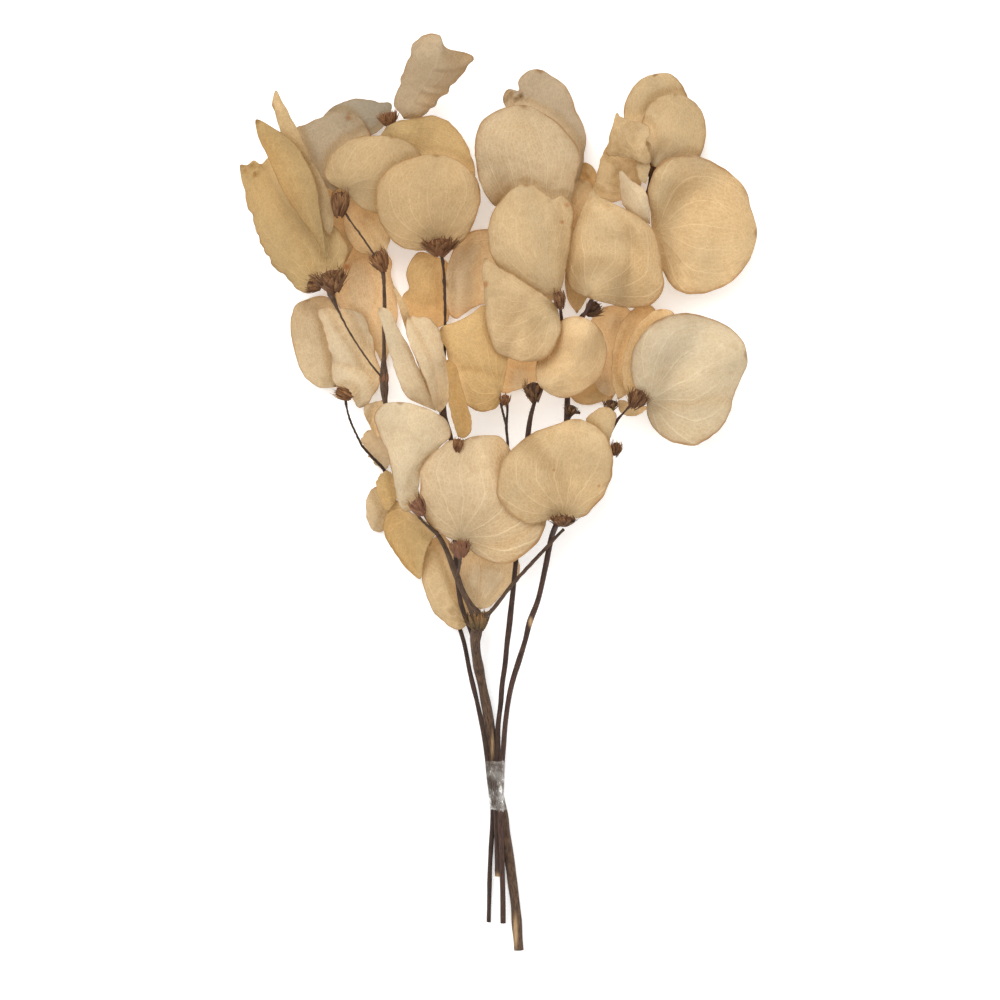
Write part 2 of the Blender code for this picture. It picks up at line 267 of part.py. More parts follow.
def mesh_object(name, points, faces, colour, rough, smooth=True):
    mesh = bpy.data.meshes.new(name)
    mesh.from_pydata([tuple(p) for p in points], [], [tuple(f) for f in faces])
    mesh.validate()
    work = bmesh.new()
    work.from_mesh(mesh)
    bmesh.ops.triangulate(work, faces=work.faces[:])
    bmesh.ops.recalc_face_normals(work, faces=work.faces[:])
    if work.calc_volume(signed=True) < 0:
        bmesh.ops.reverse_faces(work, faces=work.faces[:])
    work.to_mesh(mesh)
    work.free()
    obj = bpy.data.objects.new(name, mesh)
    bpy.context.scene.collection.objects.link(obj)
    mat = bpy.data.materials.new(name)
    mat.use_nodes = True
    shader = mat.node_tree.nodes["Principled BSDF"]
    shader.inputs["Base Color"].default_value = (*colour, 1)
    shader.inputs["Roughness"].default_value = rough
    mesh.materials.append(mat)
    if smooth:
        mesh.shade_smooth()
        mesh.set_sharp_from_angle(angle=math.radians(50))
    return obj


def leaf_solid(name):
    plan, z = leaf_sheet(name, ROWS, COLUMNS, 0.07)
    mid = place(plan, z + look(RISE[name], plan))
    along = np.gradient(mid, axis=0)
    across = np.gradient(mid, axis=1)
    normal = np.cross(along, across)
    normal /= np.linalg.norm(normal, axis=2, keepdims=True)
    normal *= np.sign(normal[..., 2:3]) * LEAF_THICK / 2000
    n = mid.shape[0] * mid.shape[1]
    points = np.vstack([(mid + normal).reshape(-1, 3), (mid - normal).reshape(-1, 3)])
    index = np.arange(n).reshape(mid.shape[:2])
    faces = []
    for i in range(ROWS):
        for j in range(COLUMNS):
            a, b, c, d = index[i, j], index[i + 1, j], index[i + 1, j + 1], index[i, j + 1]
            faces += [(a, b, c, d), (d + n, c + n, b + n, a + n)]
    ring = list(index[:, 0]) + list(index[-1, 1:]) + list(index[:-1, -1][::-1]) + list(index[0, 1:-1][::-1])
    for a, b in zip(ring, ring[1:] + ring[:1]):
        faces.append((a, a + n, b + n, b))
    shade = 0.5 + 0.08 * math.sin(7.0 * len(faces) + 13.0 * mid[0, 0, 0] * 1000)
    return mesh_object("leaf_" + name.lower(), points, faces, (shade + 0.08, shade - 0.04, shade - 0.22), 0.7)


def thin_out(path, slack):
    """Keeps the samples of a path that it needs to stay within slack of itself."""
    keep = {0, len(path) - 1}
    todo = [(0, len(path) - 1)]
    while todo:
        a, b = todo.pop()
        if b - a < 2:
            continue
        t = np.linspace(0, 1, b - a + 1)[:, None]
        off = np.linalg.norm(path[a:b + 1] - (path[a] * (1 - t) + path[b] * t), axis=1)
        k = int(off.argmax())
        if off[k] > slack:
            keep.add(a + k)
            todo += [(a, a + k), (a + k, b)]
    return path[sorted(keep)]


def stem_tube(name, run, sides):
    line = RUNS[run]
    spots = place(line[:, :2], line[:, 3]) * 1000
    path = thin_out(np.column_stack([spots, line[:, 2]]), 0.22)
    end = path[-1]
    if STEM[run][2][-1][2] > 1.2 and run != "b.main":
        ahead = path[-1, :3] - path[-2, :3]
        ahead /= np.linalg.norm(ahead)
        path = np.vstack([path, [*(end[:3] + ahead * 0.7 * end[3]), end[3] * 0.75], [*(end[:3] + ahead * 1.05 * end[3]), end[3] * 0.3]])
    points, faces = [], []
    across = None
    for i, (x, y, z, r) in enumerate(path):
        ahead = path[min(i + 1, len(path) - 1), :3] - path[max(i - 1, 0), :3]
        ahead /= np.linalg.norm(ahead)
        across = np.cross(ahead, (0, 0, 1)) if across is None else across - ahead * (across @ ahead)
        across /= np.linalg.norm(across)
        up = np.cross(across, ahead)
        for k in range(sides):
            turn = 2 * math.pi * k / sides
            points.append((np.array([x, y, z]) + r * (math.cos(turn) * across + math.sin(turn) * up)) / 1000)
    for i in range(len(path) - 1):
        for k in range(sides):
            a, b = i * sides + k, i * sides + (k + 1) % sides
            faces.append((a, b, b + sides, a + sides))
    faces.append(tuple(range(sides))[::-1])
    faces.append(tuple(range((len(path) - 1) * sides, len(path) * sides)))
    return mesh_object(name, points, faces, (0.09, 0.055, 0.035), 0.75)


def join(body, other):
    step = body.modifiers.new("join", "BOOLEAN")
    step.operation = "UNION"
    step.solver = "EXACT"
    step.object = other
    graph = bpy.context.evaluated_depsgraph_get()
    mesh = bpy.data.meshes.new_from_object(body.evaluated_get(graph))
    body.modifiers.clear()
    old = body.data
    body.data = mesh
    bpy.data.meshes.remove(old)
    bpy.data.objects.remove(other)


def tape_solid():
    names = ("a.main", "b.main", "c.main", "d.main", "e.main")
    points, rings, turns = [], 7, 32
    for i in range(rings):
        y = TAPE_TOP + (TAPE_FOOT - TAPE_TOP) * i / (rings - 1)
        posts = []
        for name in names:
            line = RUNS[name]
            order = np.argsort(line[:, 1])
            x, r, z = (np.interp(y, line[order, 1], line[order, k]) for k in (0, 2, 3))
            spot = place(np.array([x, y]), np.array(z)) * 1000
            posts.append((spot, r * 1.06))
        for extra in (TAPE_CLEAR, TAPE_CLEAR + TAPE_THICK):
            for k in range(turns):
                turn = 2 * math.pi * k / turns
                out = np.array([math.cos(turn), 0, math.sin(turn)])
                spot, r = max(posts, key=lambda post: float(post[0] @ out) + post[1])
                points.append(np.array([spot[0], posts[1][0][1], spot[2]]) / 1000 + out * (r + extra) / 1000)
    faces = []
    at = lambda i, skin, k: (i * 2 + skin) * turns + k % turns
    for i in range(rings - 1):
        for k in range(turns):
            faces.append((at(i, 1, k), at(i, 1, k + 1), at(i + 1, 1, k + 1), at(i + 1, 1, k)))
            faces.append((at(i, 0, k), at(i + 1, 0, k), at(i + 1, 0, k + 1), at(i, 0, k + 1)))
    for i in (0, rings - 1):
        for k in range(turns):
            faces.append((at(i, 0, k), at(i, 0, k + 1), at(i, 1, k + 1), at(i, 1, k)))
    return mesh_object("tape", points, faces, (0.55, 0.5, 0.42), 0.3)


for thing in list(bpy.data.objects):
    bpy.data.objects.remove(thing)

RISE, RUNS, _ = stack()
for leaf in LEAF:
    leaf_solid(leaf)
for letter in "abcde":
    count = 8 if letter == "b" else 6
    body = None
    for run, (owner, parent, spots) in STEM.items():
        if owner != letter:
            continue
        tube = stem_tube("stem_" + letter if body is None else "joined", run, count)
        if body is None:
            body = tube
        else:
            join(body, tube)
    body.data.shade_smooth()
    body.data.set_sharp_from_angle(angle=math.radians(50))
tape_solid()
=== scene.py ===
"""A bunch of dried leaf twigs, lying on a pale surface and seen from straight above.

Leaves, twigs, burs and tape are rebuilt in detail on the layout that the solid model has.
"""
import math

import bmesh
import bpy
import numpy as np
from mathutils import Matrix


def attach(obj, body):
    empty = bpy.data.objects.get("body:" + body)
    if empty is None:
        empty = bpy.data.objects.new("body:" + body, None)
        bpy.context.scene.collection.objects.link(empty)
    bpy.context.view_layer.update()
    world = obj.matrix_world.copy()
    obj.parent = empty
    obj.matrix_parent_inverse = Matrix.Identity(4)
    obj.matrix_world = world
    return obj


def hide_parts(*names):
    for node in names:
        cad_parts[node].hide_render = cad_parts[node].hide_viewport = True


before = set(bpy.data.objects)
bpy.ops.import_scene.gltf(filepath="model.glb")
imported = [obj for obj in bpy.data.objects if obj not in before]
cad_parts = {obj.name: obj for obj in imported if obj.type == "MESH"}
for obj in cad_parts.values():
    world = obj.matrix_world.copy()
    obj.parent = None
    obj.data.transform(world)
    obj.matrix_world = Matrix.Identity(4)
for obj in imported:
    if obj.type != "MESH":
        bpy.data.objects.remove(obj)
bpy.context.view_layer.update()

SHIFT_X, SHIFT_Y, DROP = 0.61, 3.25, 0.1   # mm, as in the solid model
LEAF_THICK = 0.24    # mm
TAPE_TOP, TAPE_FOOT = 762.0, 808.0

UNIT = 0.44          # mm per plan unit on the surface the bunch lies on
EYE = 1600.0         # mm, height from which the plan is seen
PLAN_X = 498.5       # plan point straight above the origin
PLAN_Y = 491.5
CUP, BOW = 0.70, 0.60  # how much of its edge bend and of its arch a leaf keeps
GAP = 2.8            # mm between the middle surfaces of leaves that lie on one another
CELL = 3.0           # plan units, cell of the grid on which the pieces are stacked
SOFT = 5             # cells over which a leaf rises to clear what it lies on
GRID_X, GRID_Y = 225.0, 20.0
CELLS_X, CELLS_Y = 182, 212

# Each leaf: height at base and at tip, arch, left edge, right edge, crease, tip index,
# then its outline in plan from the base round past the tip and back.
LEAF = {
    "A01": (34, 66, -4, 3, -16, 0.5, 7, [(404, 119), (394, 103), (400, 83), (407, 62), (415, 42), (427, 34), (439, 34.5), (444, 45), (452, 50.5), (462, 51), (473, 58), (462, 74), (441, 98), (421, 117)]),
    "A02": (22, 6, 4, -3, -3, 0.1, 5, [(390, 118), (391, 104), (378, 102), (360, 98.5), (343, 102), (329, 110), (322, 122), (338, 138), (362, 138), (380, 130)]),
    "A03": (30, 14, 4, -6, -5, 0.2, 7, [(334, 192), (318, 180), (304, 155), (297, 127), (306, 124), (320, 118), (335, 112), (350, 113), (362, 120), (369, 132), (370, 145), (355, 170), (343, 185)]),
    "A04": (40, 48, 7, -6, -6, 0.1, 6, [(341, 189), (327, 180), (325, 165), (336, 149), (352, 138.5), (372, 135.5), (392, 137), (408, 142), (421, 155), (424, 180), (412, 205), (390, 215), (362, 208), (348, 195)]),
    "A05": (34, 40, 8, -7, -4, 0.1, 7, [(386, 127), (398, 121), (414, 118.5), (433, 115.5), (447, 121), (459, 132), (470, 152), (475, 178), (462, 196), (440, 198), (415, 185), (395, 165), (380, 140)]),
    "A06": (38, 58, 8, -7, -8, 0.1, 8, [(441, 247), (456, 246), (467, 236), (476, 217), (480.5, 200), (478, 182), (468, 168), (454, 158.5), (437, 154.5), (418, 156.5), (400, 162), (385, 172), (377, 187), (376, 203), (379, 219), (386, 233), (395, 243), (405, 248.5), (417, 250.5), (430, 250)]),
    "A07": (44, 56, -4, 4, 10, 0.3, 7, [(330, 236), (324, 228), (319, 209), (303, 176), (288, 148), (279, 128), (275, 112), (272, 105), (276, 90), (281, 99), (288, 112), (296, 126), (305, 145), (314, 165), (326, 186), (332, 208), (334, 224)]),
    "A08": (38, 20, 8, -6, 6, 0.1, 10, [(322, 287), (304, 293), (290, 281), (276, 268), (267, 256), (261, 243), (256, 229), (250, 211), (245, 195), (242, 179), (240, 165), (247, 165.5), (254, 160), (261, 164), (269, 157), (290, 178), (318, 208), (340, 233), (348, 247), (344, 266), (334, 279)]),
    "A09": (46, 58, -8, 9, 6, 0.2, 9, [(327, 262), (325, 245), (322, 225), (319, 205), (317, 189), (312, 173), (303, 156), (291, 140), (272, 127), (256, 119.5), (257, 133), (262, 145), (269, 160), (277, 178), (285, 195), (299, 216), (316, 238)]),
    "A10": (26, 6, 2, 2, 3, 0.1, 5, [(333, 270), (322, 252), (316, 228), (314, 205), (318, 188), (330, 180), (345, 178), (356, 195), (358, 225), (352, 250), (342, 266)]),
    "A11": (26, 14, 3, -2, 3, 0.1, 5, [(378, 256), (358, 252), (346, 235), (343, 215), (350, 197), (365, 188), (382, 193), (391, 210), (391, 228), (390, 240), (386, 251)]),
    "A12": (14, 8, 4, 3, -2, 0.1, 6, [(384, 368), (372, 345), (352, 325), (336, 300), (332, 270), (342, 248), (360, 240), (380, 247), (392, 262), (391, 275), (394, 287), (398, 310), (392, 340)]),
    "B01": (36, 50, 9, -6, -6, 0.1, 9, [(556, 235), (530, 225), (505, 212), (489, 200), (480, 183), (476, 163), (475, 140), (482, 121), (500, 109.5), (524, 105), (548, 116), (565, 130), (577, 146), (580, 160), (577, 175), (570, 205)]),
    "B02": (24, 10, 7, -4, -6, 0.1, 9, [(572, 200), (545, 180), (525, 130), (506, 108), (503, 98), (508, 89), (519, 91), (518, 82), (527, 71.5), (540, 69.5), (555, 78), (567, 88), (577, 113), (586, 134), (584, 155), (581, 175)]),
    "B03": (40, 54, 8, -7, -7, 0.1, 8, [(558, 296), (525, 290), (505, 275), (491, 255), (488, 235), (491, 215), (500, 202), (512, 189), (527, 184), (542, 191), (553, 198), (563, 195), (572, 205), (572, 228), (569, 250), (565, 272), (562, 287)]),
    "B04": (42, 62, 8, -9, -6, 0.1, 12, [(555, 304), (558, 311), (561, 328), (556, 345), (545, 358), (530, 362), (510, 359), (497, 353), (489, 335), (486, 318), (484, 290), (482, 270), (485, 258), (497, 266), (520, 279), (540, 292)]),
    "B05": (40, 58, 9, -8, -8, 0.1, 13, [(588, 298), (606, 303), (630, 308), (648, 306), (660, 297), (664, 282), (661.5, 264), (659, 246), (652.5, 229), (642, 219), (627, 210), (612, 202.5), (600, 197), (593, 189), (584, 205), (576, 222), (570, 240), (566.5, 262), (566.5, 280), (574, 291)]),
    "B06": (34, 34, 10, -8, -9, 0.05, 10, [(652, 232), (650, 210), (648, 190), (655, 170), (668, 158), (690, 155), (711, 161), (730, 173), (745, 188), (750, 205), (757, 233), (751, 256), (736, 278), (715, 290), (690, 294.5), (672, 286), (663, 272), (657, 250)]),
    "B07": (32, 30, 7, -7, -8, 0.1, 5, [(652, 166), (646, 150), (642, 130), (644, 115), (656, 99), (675, 94), (687, 97), (701, 110), (706, 130), (700, 157), (690, 165), (670, 170)]),
    "B08": (22, 8, 7, -6, -6, 0.1, 6, [(650, 168), (634, 150), (626, 130), (623.5, 112), (630, 92), (640, 80), (655, 74), (670, 74), (680, 82), (687, 96), (685, 120), (670, 145)]),
    "B09": (38, 50, 4, -6, 6, 0.4, 5, [(648, 165), (636, 160), (622, 157), (607, 154), (611, 132), (617, 113), (621, 117), (633, 121), (645, 124), (651, 132), (646, 142), (650, 155)]),
    "B10": (36, 42, 1, 2, -2, 0.3, 4, [(646, 184), (640, 180), (636, 163), (637, 148), (642, 141), (650, 143), (651, 158), (649, 172)]),
    "B11": (28, 16, 3, -6, -6, 0.3, 7, [(640, 188), (630, 196), (618, 202), (604, 200), (592, 191), (597, 175), (602, 155), (608, 146), (622, 148), (636, 154), (643, 165), (643, 178)]),
    "B12": (36, 46, 2, -4, 2, 0.3, 4, [(650, 224), (636, 217), (623, 205), (620, 185), (620, 170), (632, 181), (644, 189), (649, 205)]),
    "B13": (14, 6, 2, -2, -2, 0.1, 5, [(586, 300), (575, 270), (572, 235), (572, 205), (575, 180), (583, 163), (591, 165), (597, 175), (600, 200), (600, 235), (597, 270)]),
    "B15": (24, 16, 3, -4, -4, 0.1, 7, [(577, 314), (568, 300), (565, 280), (567, 250), (569, 225), (566, 205), (570, 186), (582, 180), (592, 184), (595, 205), (593, 240), (590, 270), (587, 297)]),
    "C01": (24, 4, 6, 3, -6, 0.1, 9, [(336, 387), (328, 388), (318, 387), (308, 380), (300, 369), (295, 353), (291, 335), (291, 318), (296, 305), (308, 299), (325, 296), (340, 310), (345, 340), (342, 370)]),
    "C02": (26, 24, 5, -5, -4, 0.2, 9, [(352, 398), (358, 407), (366, 405), (376, 392), (381, 378), (377, 358), (372, 337), (366, 319), (353, 310), (335, 308), (318, 309), (322, 325), (328, 345), (332, 362), (332, 380), (342, 390)]),
    "D01": (46, 68, -3, -10, 6, 0.2, 6, [(436, 411), (420, 404), (405, 395), (398, 378), (391, 358), (385, 335), (379, 308), (389, 310), (397, 326), (407, 343), (416, 362), (424, 380), (431, 397)]),
    "D02": (46, 66, 4, -6, 5, 0.4, 8, [(440, 413), (448, 402), (450, 385), (447, 365), (443, 345), (438, 328), (427, 317), (418, 317.5), (409, 316), (406, 330), (412, 350), (422, 372), (430, 394), (435, 409)]),
    "D03": (42, 58, 2, 4, -4, 0.3, 4, [(434, 405), (420, 370), (407, 335), (400, 310), (393, 285), (401, 296), (408, 312), (412, 335), (425, 370)]),
    "D04": (58, 66, 0, -6, 7, 0.2, 4, [(458, 437), (454, 425), (449, 405), (449, 385), (447, 360), (455, 365), (463, 392), (471, 418), (471, 431), (465, 438)]),
    "E01": (22, 4, 8, -5, -6, 0.1, 8, [(436, 256), (419, 252), (410, 262), (406, 274), (409, 288), (402, 297), (405, 312), (418, 322), (435, 328), (447, 322), (450, 300), (450, 275), (447, 262)]),
    "E02": (24, 14, 6, -5, -6, 0.1, 7, [(556, 298), (530, 312), (500, 305), (484, 304), (468, 311), (455, 319), (447, 308), (445, 285), (448, 264), (455, 247), (466, 234), (485, 229), (510, 235), (540, 265)]),
    "E03": (36, 40, 7, -5, -6, 0.1, 8, [(501, 394), (500, 402), (493, 410), (475, 410.5), (467, 404), (461, 392), (453, 375), (446, 350), (440, 329), (455, 322), (470, 315), (484, 305), (500, 320), (508, 350), (505, 378)]),
    "E04": (16, 8, 4, -4, -4, 0.1, 6, [(530, 386), (520, 389), (505, 393), (496, 388), (488, 370), (485, 345), (495, 325), (520, 320), (545, 335), (550, 355), (543, 370), (537, 380)]),
    "F01": (36, 50, 9, -7, -7, 0.1, 8, [(541, 388), (552, 395), (568, 398), (585, 390), (600, 376), (607, 357), (604, 337), (595, 324), (580, 316.5), (566, 318), (555, 326), (546, 338), (539, 352), (536, 368), (536, 379)]),
    "F02": (16, 6, 4, -4, -3, 0.1, 5, [(612, 398), (600, 392), (590, 370), (588, 340), (592, 318), (605, 307), (622, 306), (632, 312), (622, 335), (617, 360), (618, 385)]),
    "F03": (34, 32, 4, -4, -3, 0.2, 5, [(618, 400), (612, 380), (613, 350), (620, 325), (632, 310), (646, 304), (655, 309), (650, 325), (640, 345), (632, 370), (628, 392)]),
    "F04": (38, 36, 4, -4, -3, 0.2, 5, [(628, 398), (622, 380), (624, 355), (632, 333), (645, 317), (660, 309), (674, 313), (668, 330), (650, 355), (640, 385)]),
    "F05": (40, 46, 10, -8, -9, 0.05, 12, [(647, 402), (647, 414), (655, 430), (668, 440), (684, 445), (692, 446), (708, 439), (722, 427), (729, 414), (734, 396), (740, 380), (747, 366), (747, 355), (744, 343), (730, 328), (715, 320), (695, 314), (675, 314), (656, 321), (641, 335), (632, 353), (631, 372), (636, 390)]),
    "F06": (12, 4, 2, -2, -2, 0.1, 5, [(612, 400), (600, 402.5), (588, 405), (574, 401), (568, 385), (580, 360), (600, 350), (615, 365), (618, 385)]),
    "F07": (30, 24, 1, -2, -2, 0.1, 4, [(634, 405), (620, 400), (619, 410), (628, 416), (640, 414), (647, 407)]),
    "G01": (38, 60, 10, -8, -8, 0.1, 8, [(563, 518), (583, 517), (592, 509), (604, 495), (612, 474), (613, 460), (609, 441), (600, 429), (578, 419), (560, 423), (535, 432), (518, 444), (505, 457), (498, 478), (497, 495), (507, 510), (527, 524), (549, 520)]),
    "G02": (34, 42, 2, -3, -3, 0.2, 4, [(609, 445), (590, 428), (586, 420), (596, 410), (607, 407), (616, 414), (615, 424), (611, 436)]),
    "H01": (38, 54, 6, 3, -8, 0.1, 9, [(418, 500), (419, 485), (422, 468), (430, 456), (440, 447), (450, 437), (449, 425), (440, 415), (420, 406), (400, 402), (382, 405), (374, 418), (380, 436), (387, 452), (393, 478), (398, 502), (403, 511), (412, 510)]),
    "H02": (38, 58, 11, -8, -9, 0.1, 10, [(460, 541), (448, 538), (437, 531), (427, 519), (421, 500), (420, 480), (424, 463), (438, 449), (450, 441), (461, 440), (475, 436), (490, 435), (501, 437), (509, 448), (520, 465), (540, 490), (546, 515), (545, 528), (535, 545), (522, 557), (511, 563), (495, 563), (478, 556)]),
    "I01": (28, 26, 2, -3, -3, 0.1, 4, [(387, 470), (379, 476), (376, 487), (380, 500), (387, 511), (397, 497), (396, 485), (392, 474)]),
    "I02": (26, 16, -5, 8, 8, 0.1, 6, [(422, 518), (433, 528), (436, 533), (428, 546), (424, 560), (422, 574), (420, 579), (408, 570), (395, 553), (386, 538), (383, 525), (388, 511), (398, 500), (410, 512)]),
    "I03": (15, 5, 4, -3, -4, 0.1, 7, [(470, 622), (459, 630), (448, 625), (434, 612), (427, 597), (422, 578), (424, 558), (430, 543), (440, 534), (452, 545), (462, 570), (468, 598)]),
    "I04": (12, 6, 3, -3, -3, 0.2, 4, [(479, 609), (468, 600), (460, 578), (462, 555), (480, 535), (505, 540), (519, 562), (519, 573), (511, 585), (498, 599), (487, 608)]),
    "I05": (14, 5, 3, -3, -3, 0.1, 5, [(392, 500), (376, 487), (368, 495), (366, 508), (368, 522), (374, 531), (383, 531), (390, 515)]),
    "J01": (14, 6, 2, -2, -2, 0.1, 4, [(386, 470), (376, 465), (366, 450), (361, 441), (367, 431), (378, 430), (388, 448), (390, 462)]),
    "J02": (24, 20, 1, 2, -3, 0.2, 3, [(382, 400), (364, 407), (371, 428), (380, 438), (385, 425), (384, 405)]),
}

# Each run of stem: the stem it belongs to, the run it leaves, then its points: plan x, y, radius mm, height mm.
STEM = {
    "a.main": ("a", None, [(488.8, 922, 1.0, 1.15), (490, 870, 1.0, 2.8), (492.5, 810, 1.0, 5.0), (490, 786, 1.0, 7.2), (487.5, 762, 1.0, 8.4), (484, 738, 1.0, 9.1), (480, 715, 1.0, 9.6), (470, 672, 1.0, 9.5), (460, 629, 1.0, 6.5), (436, 575, 0.9, 3.5), (415, 538, 0.9, 3.0), (398, 508, 0.85, 3.5), (389, 487, 0.8, 6.0)]),
    "a.low": ("a", "a.main", [(389, 487, 0.8, 6.0), (384, 470, 0.7, 8), (373, 458, 0.6, 14), (362, 446, 0.5, 19)]),
    "a.top": ("a", "a.low", [(362, 446, 0.5, 19), (350, 420, 0.5, 26), (346, 404, 0.6, 31), (345, 393, 1.9, 33)]),
    "b.main": ("b", None, [(519, 950, 2.1, 2.2), (515, 900, 2.2, 2.9), (508.7, 855, 2.15, 4.0), (502, 810, 2.0, 5.3), (496.5, 786, 2.0, 5.3), (491.5, 762, 2.0, 5.3), (488.5, 722, 2.0, 6.2), (484, 694, 2.0, 7.5), (478.5, 668, 2.1, 9.6), (475, 642, 2.2, 13.5), (478, 620, 3.3, 18), (471, 607, 1.6, 20), (463, 592, 1.25, 21.5), (457, 577, 1.3, 23), (446, 549, 1.05, 25), (440, 538, 1.0, 26), (434, 529, 1.0, 27)]),
    "b.mid": ("b", "b.main", [(434, 529, 1.0, 27), (425, 514, 0.95, 29), (414, 485, 0.95, 29), (400, 440, 0.9, 29), (386, 404, 1.0, 29), (384, 380, 1.9, 29.5), (384, 355, 0.9, 30), (384, 330, 0.85, 30.5), (384.5, 307, 0.8, 31), (384, 284, 0.75, 32)]),
    "b.k3": ("b", "b.mid", [(384, 284, 0.8, 32), (383, 273, 1.0, 33), (379, 262, 2.2, 34)]),
    "b.k2": ("b", "b.k3", [(379, 262, 0.5, 34), (371, 250, 0.45, 34), (360, 234, 0.45, 35), (349, 219, 0.5, 37), (340, 203, 2.2, 39)]),
    "b.k4": ("b", "b.mid", [(384, 380, 0.5, 29.5), (370, 363, 0.42, 32), (350, 333, 0.42, 35), (338, 310, 0.6, 40), (331, 294, 1.6, 46), (328, 283, 3.0, 48)]),
    "c.k1": ("c", "c.main", [(445, 340, 0.6, 29), (445, 300, 0.55, 29), (443, 265, 0.55, 30), (436, 238, 0.55, 30), (415, 190, 0.55, 30), (398, 148, 0.6, 30), (391, 122, 2.0, 30)]),
    "b.k15": ("b", "b.main", [(438, 535, 0.7, 26), (429, 527, 0.6, 31), (420, 518, 0.6, 38), (415.5, 508, 1.9, 44)]),
    "b.k16": ("b", "b.main", [(456, 578, 0.65, 23), (458.5, 571, 0.6, 29), (460, 563, 0.6, 36), (460, 550, 2.2, 45)]),
    "b.right": ("b", "b.main", [(478, 620, 1.0, 18), (490, 612, 0.9, 20), (500, 600, 0.85, 23), (511, 586, 0.8, 26), (530, 565, 0.8, 28), (546, 548, 0.75, 31), (556, 537, 0.7, 32), (564, 529, 0.65, 32.5)]),
    "c.main": ("c", None, [(500, 868, 0.9, 2.0), (498, 810, 1.1, 2.1), (497, 762, 1.15, 2.1), (495, 745, 1.15, 2.1), (491.5, 720, 1.15, 2.4), (487.5, 700, 1.15, 3.2), (481, 675, 1.15, 4.4), (474, 640, 1.15, 8), (460, 600, 0.95, 13), (455, 540, 0.95, 20), (452, 480, 0.95, 24), (451, 440, 1.0, 26), (443, 415, 1.6, 27), (444, 375, 0.7, 28), (445, 340, 0.6, 29)]),
    "c.k6": ("c", "c.main", [(445, 340, 0.6, 29), (445, 310, 0.55, 31), (444, 280, 0.55, 35), (443, 262, 0.7, 40), (440, 250, 2.4, 45)]),
    "d.main": ("d", None, [(498.6, 876, 1.6, 4.7), (498.0, 855, 1.45, 5.3), (497.0, 833, 1.25, 6.4), (496.3, 810, 1.15, 7.8), (496.6, 786, 1.15, 9.0), (497, 762, 1.15, 8.0), (497.5, 745, 1.15, 7.8), (498, 730, 1.15, 8), (502, 690, 1.15, 10), (507, 645, 1.15, 14), (511, 612, 1.2, 17), (513.5, 586, 1.1, 20), (515, 570, 1.1, 22), (517, 545, 1.1, 24), (522, 500, 1.1, 27), (528, 436, 1.1, 29), (531, 415, 1.0, 31), (535, 400, 1.0, 34), (537, 390, 2.0, 36)]),
    "d.k7": ("d", "d.main", [(517, 545, 0.8, 24), (510, 490, 0.7, 27), (508, 448, 0.6, 30), (506.5, 425, 0.6, 34), (507.5, 410, 0.55, 38), (507, 400, 1.3, 41)]),
    "d.k7b": ("d", "d.k7", [(506.5, 426, 0.6, 34), (503, 413, 0.5, 36), (500.5, 403, 0.5, 37.5)]),
    "e.main": ("e", None, [(503, 923, 1.15, 4.5), (502.8, 893, 1.15, 6.5), (502, 860, 1.1, 8.5), (500.5, 810, 1.15, 10.4), (501.2, 786, 1.15, 11.2), (502, 762, 1.15, 10.4), (503.5, 745, 1.15, 10), (505.5, 720, 1.15, 10), (508.5, 700, 1.2, 10.5), (513, 680, 1.2, 11.2), (519, 660, 1.2, 12.4), (525.5, 640, 1.2, 14), (530, 622, 1.4, 16), (538, 600, 1.2, 18), (545, 568, 1.2, 21), (552, 535, 1.2, 24), (556, 525, 1.3, 25), (563, 505, 1.3, 27), (566, 470, 1.3, 28), (567, 421, 1.8, 29), (567.5, 397, 1.75, 29), (570, 365, 1.0, 30), (574, 335, 0.9, 32), (580, 318, 0.8, 36), (593, 308, 2.3, 42)]),
    "e.k17": ("e", "e.main", [(552, 536, 0.9, 24), (554.5, 530, 0.8, 31), (558, 524.5, 0.8, 38), (561, 520.5, 1.6, 43)]),
    "e.low9": ("e", "e.main", [(570, 365, 0.8, 30), (565, 340, 0.7, 32), (561, 315, 0.7, 34)]),
    "e.k9": ("e", "e.low9", [(561, 315, 0.7, 34), (560.5, 309, 0.7, 41), (560, 299, 1.7, 48)]),
    "e.k14": ("e", "e.main", [(574, 335, 0.8, 32), (600, 285, 0.7, 31), (630, 235, 0.65, 31), (646, 195, 0.65, 33), (650, 182, 0.8, 38), (651, 170, 1.6, 42)]),
    "e.k18": ("e", "e.main", [(570, 365, 0.7, 30), (558, 330, 0.65, 31), (555, 290, 0.6, 32), (556, 250, 0.6, 32), (556, 236, 1.5, 33)]),
    "e.k13": ("e", "e.main", [(567, 450, 0.9, 29), (588, 442, 0.8, 29), (602, 426, 0.75, 30), (611, 406, 1.5, 31)]),
    "e.stub": ("e", "e.main", [(567, 421, 0.9, 29), (573, 412, 0.9, 30), (580, 413, 0.6, 31)]),
    "e.low11": ("e", "e.main", [(566, 470, 0.8, 28), (590, 460, 0.75, 28), (606, 440, 0.65, 29), (618, 419, 0.6, 32)]),
    "e.k11": ("e", "e.low11", [(618, 419, 0.6, 32), (628, 408, 0.55, 38), (636, 400, 2.4, 46)]),
    "e.k12": ("e", "e.main", [(566, 470, 0.8, 28), (590, 462, 0.7, 28), (603, 457, 0.6, 30), (614, 450, 1.3, 33)]),
}

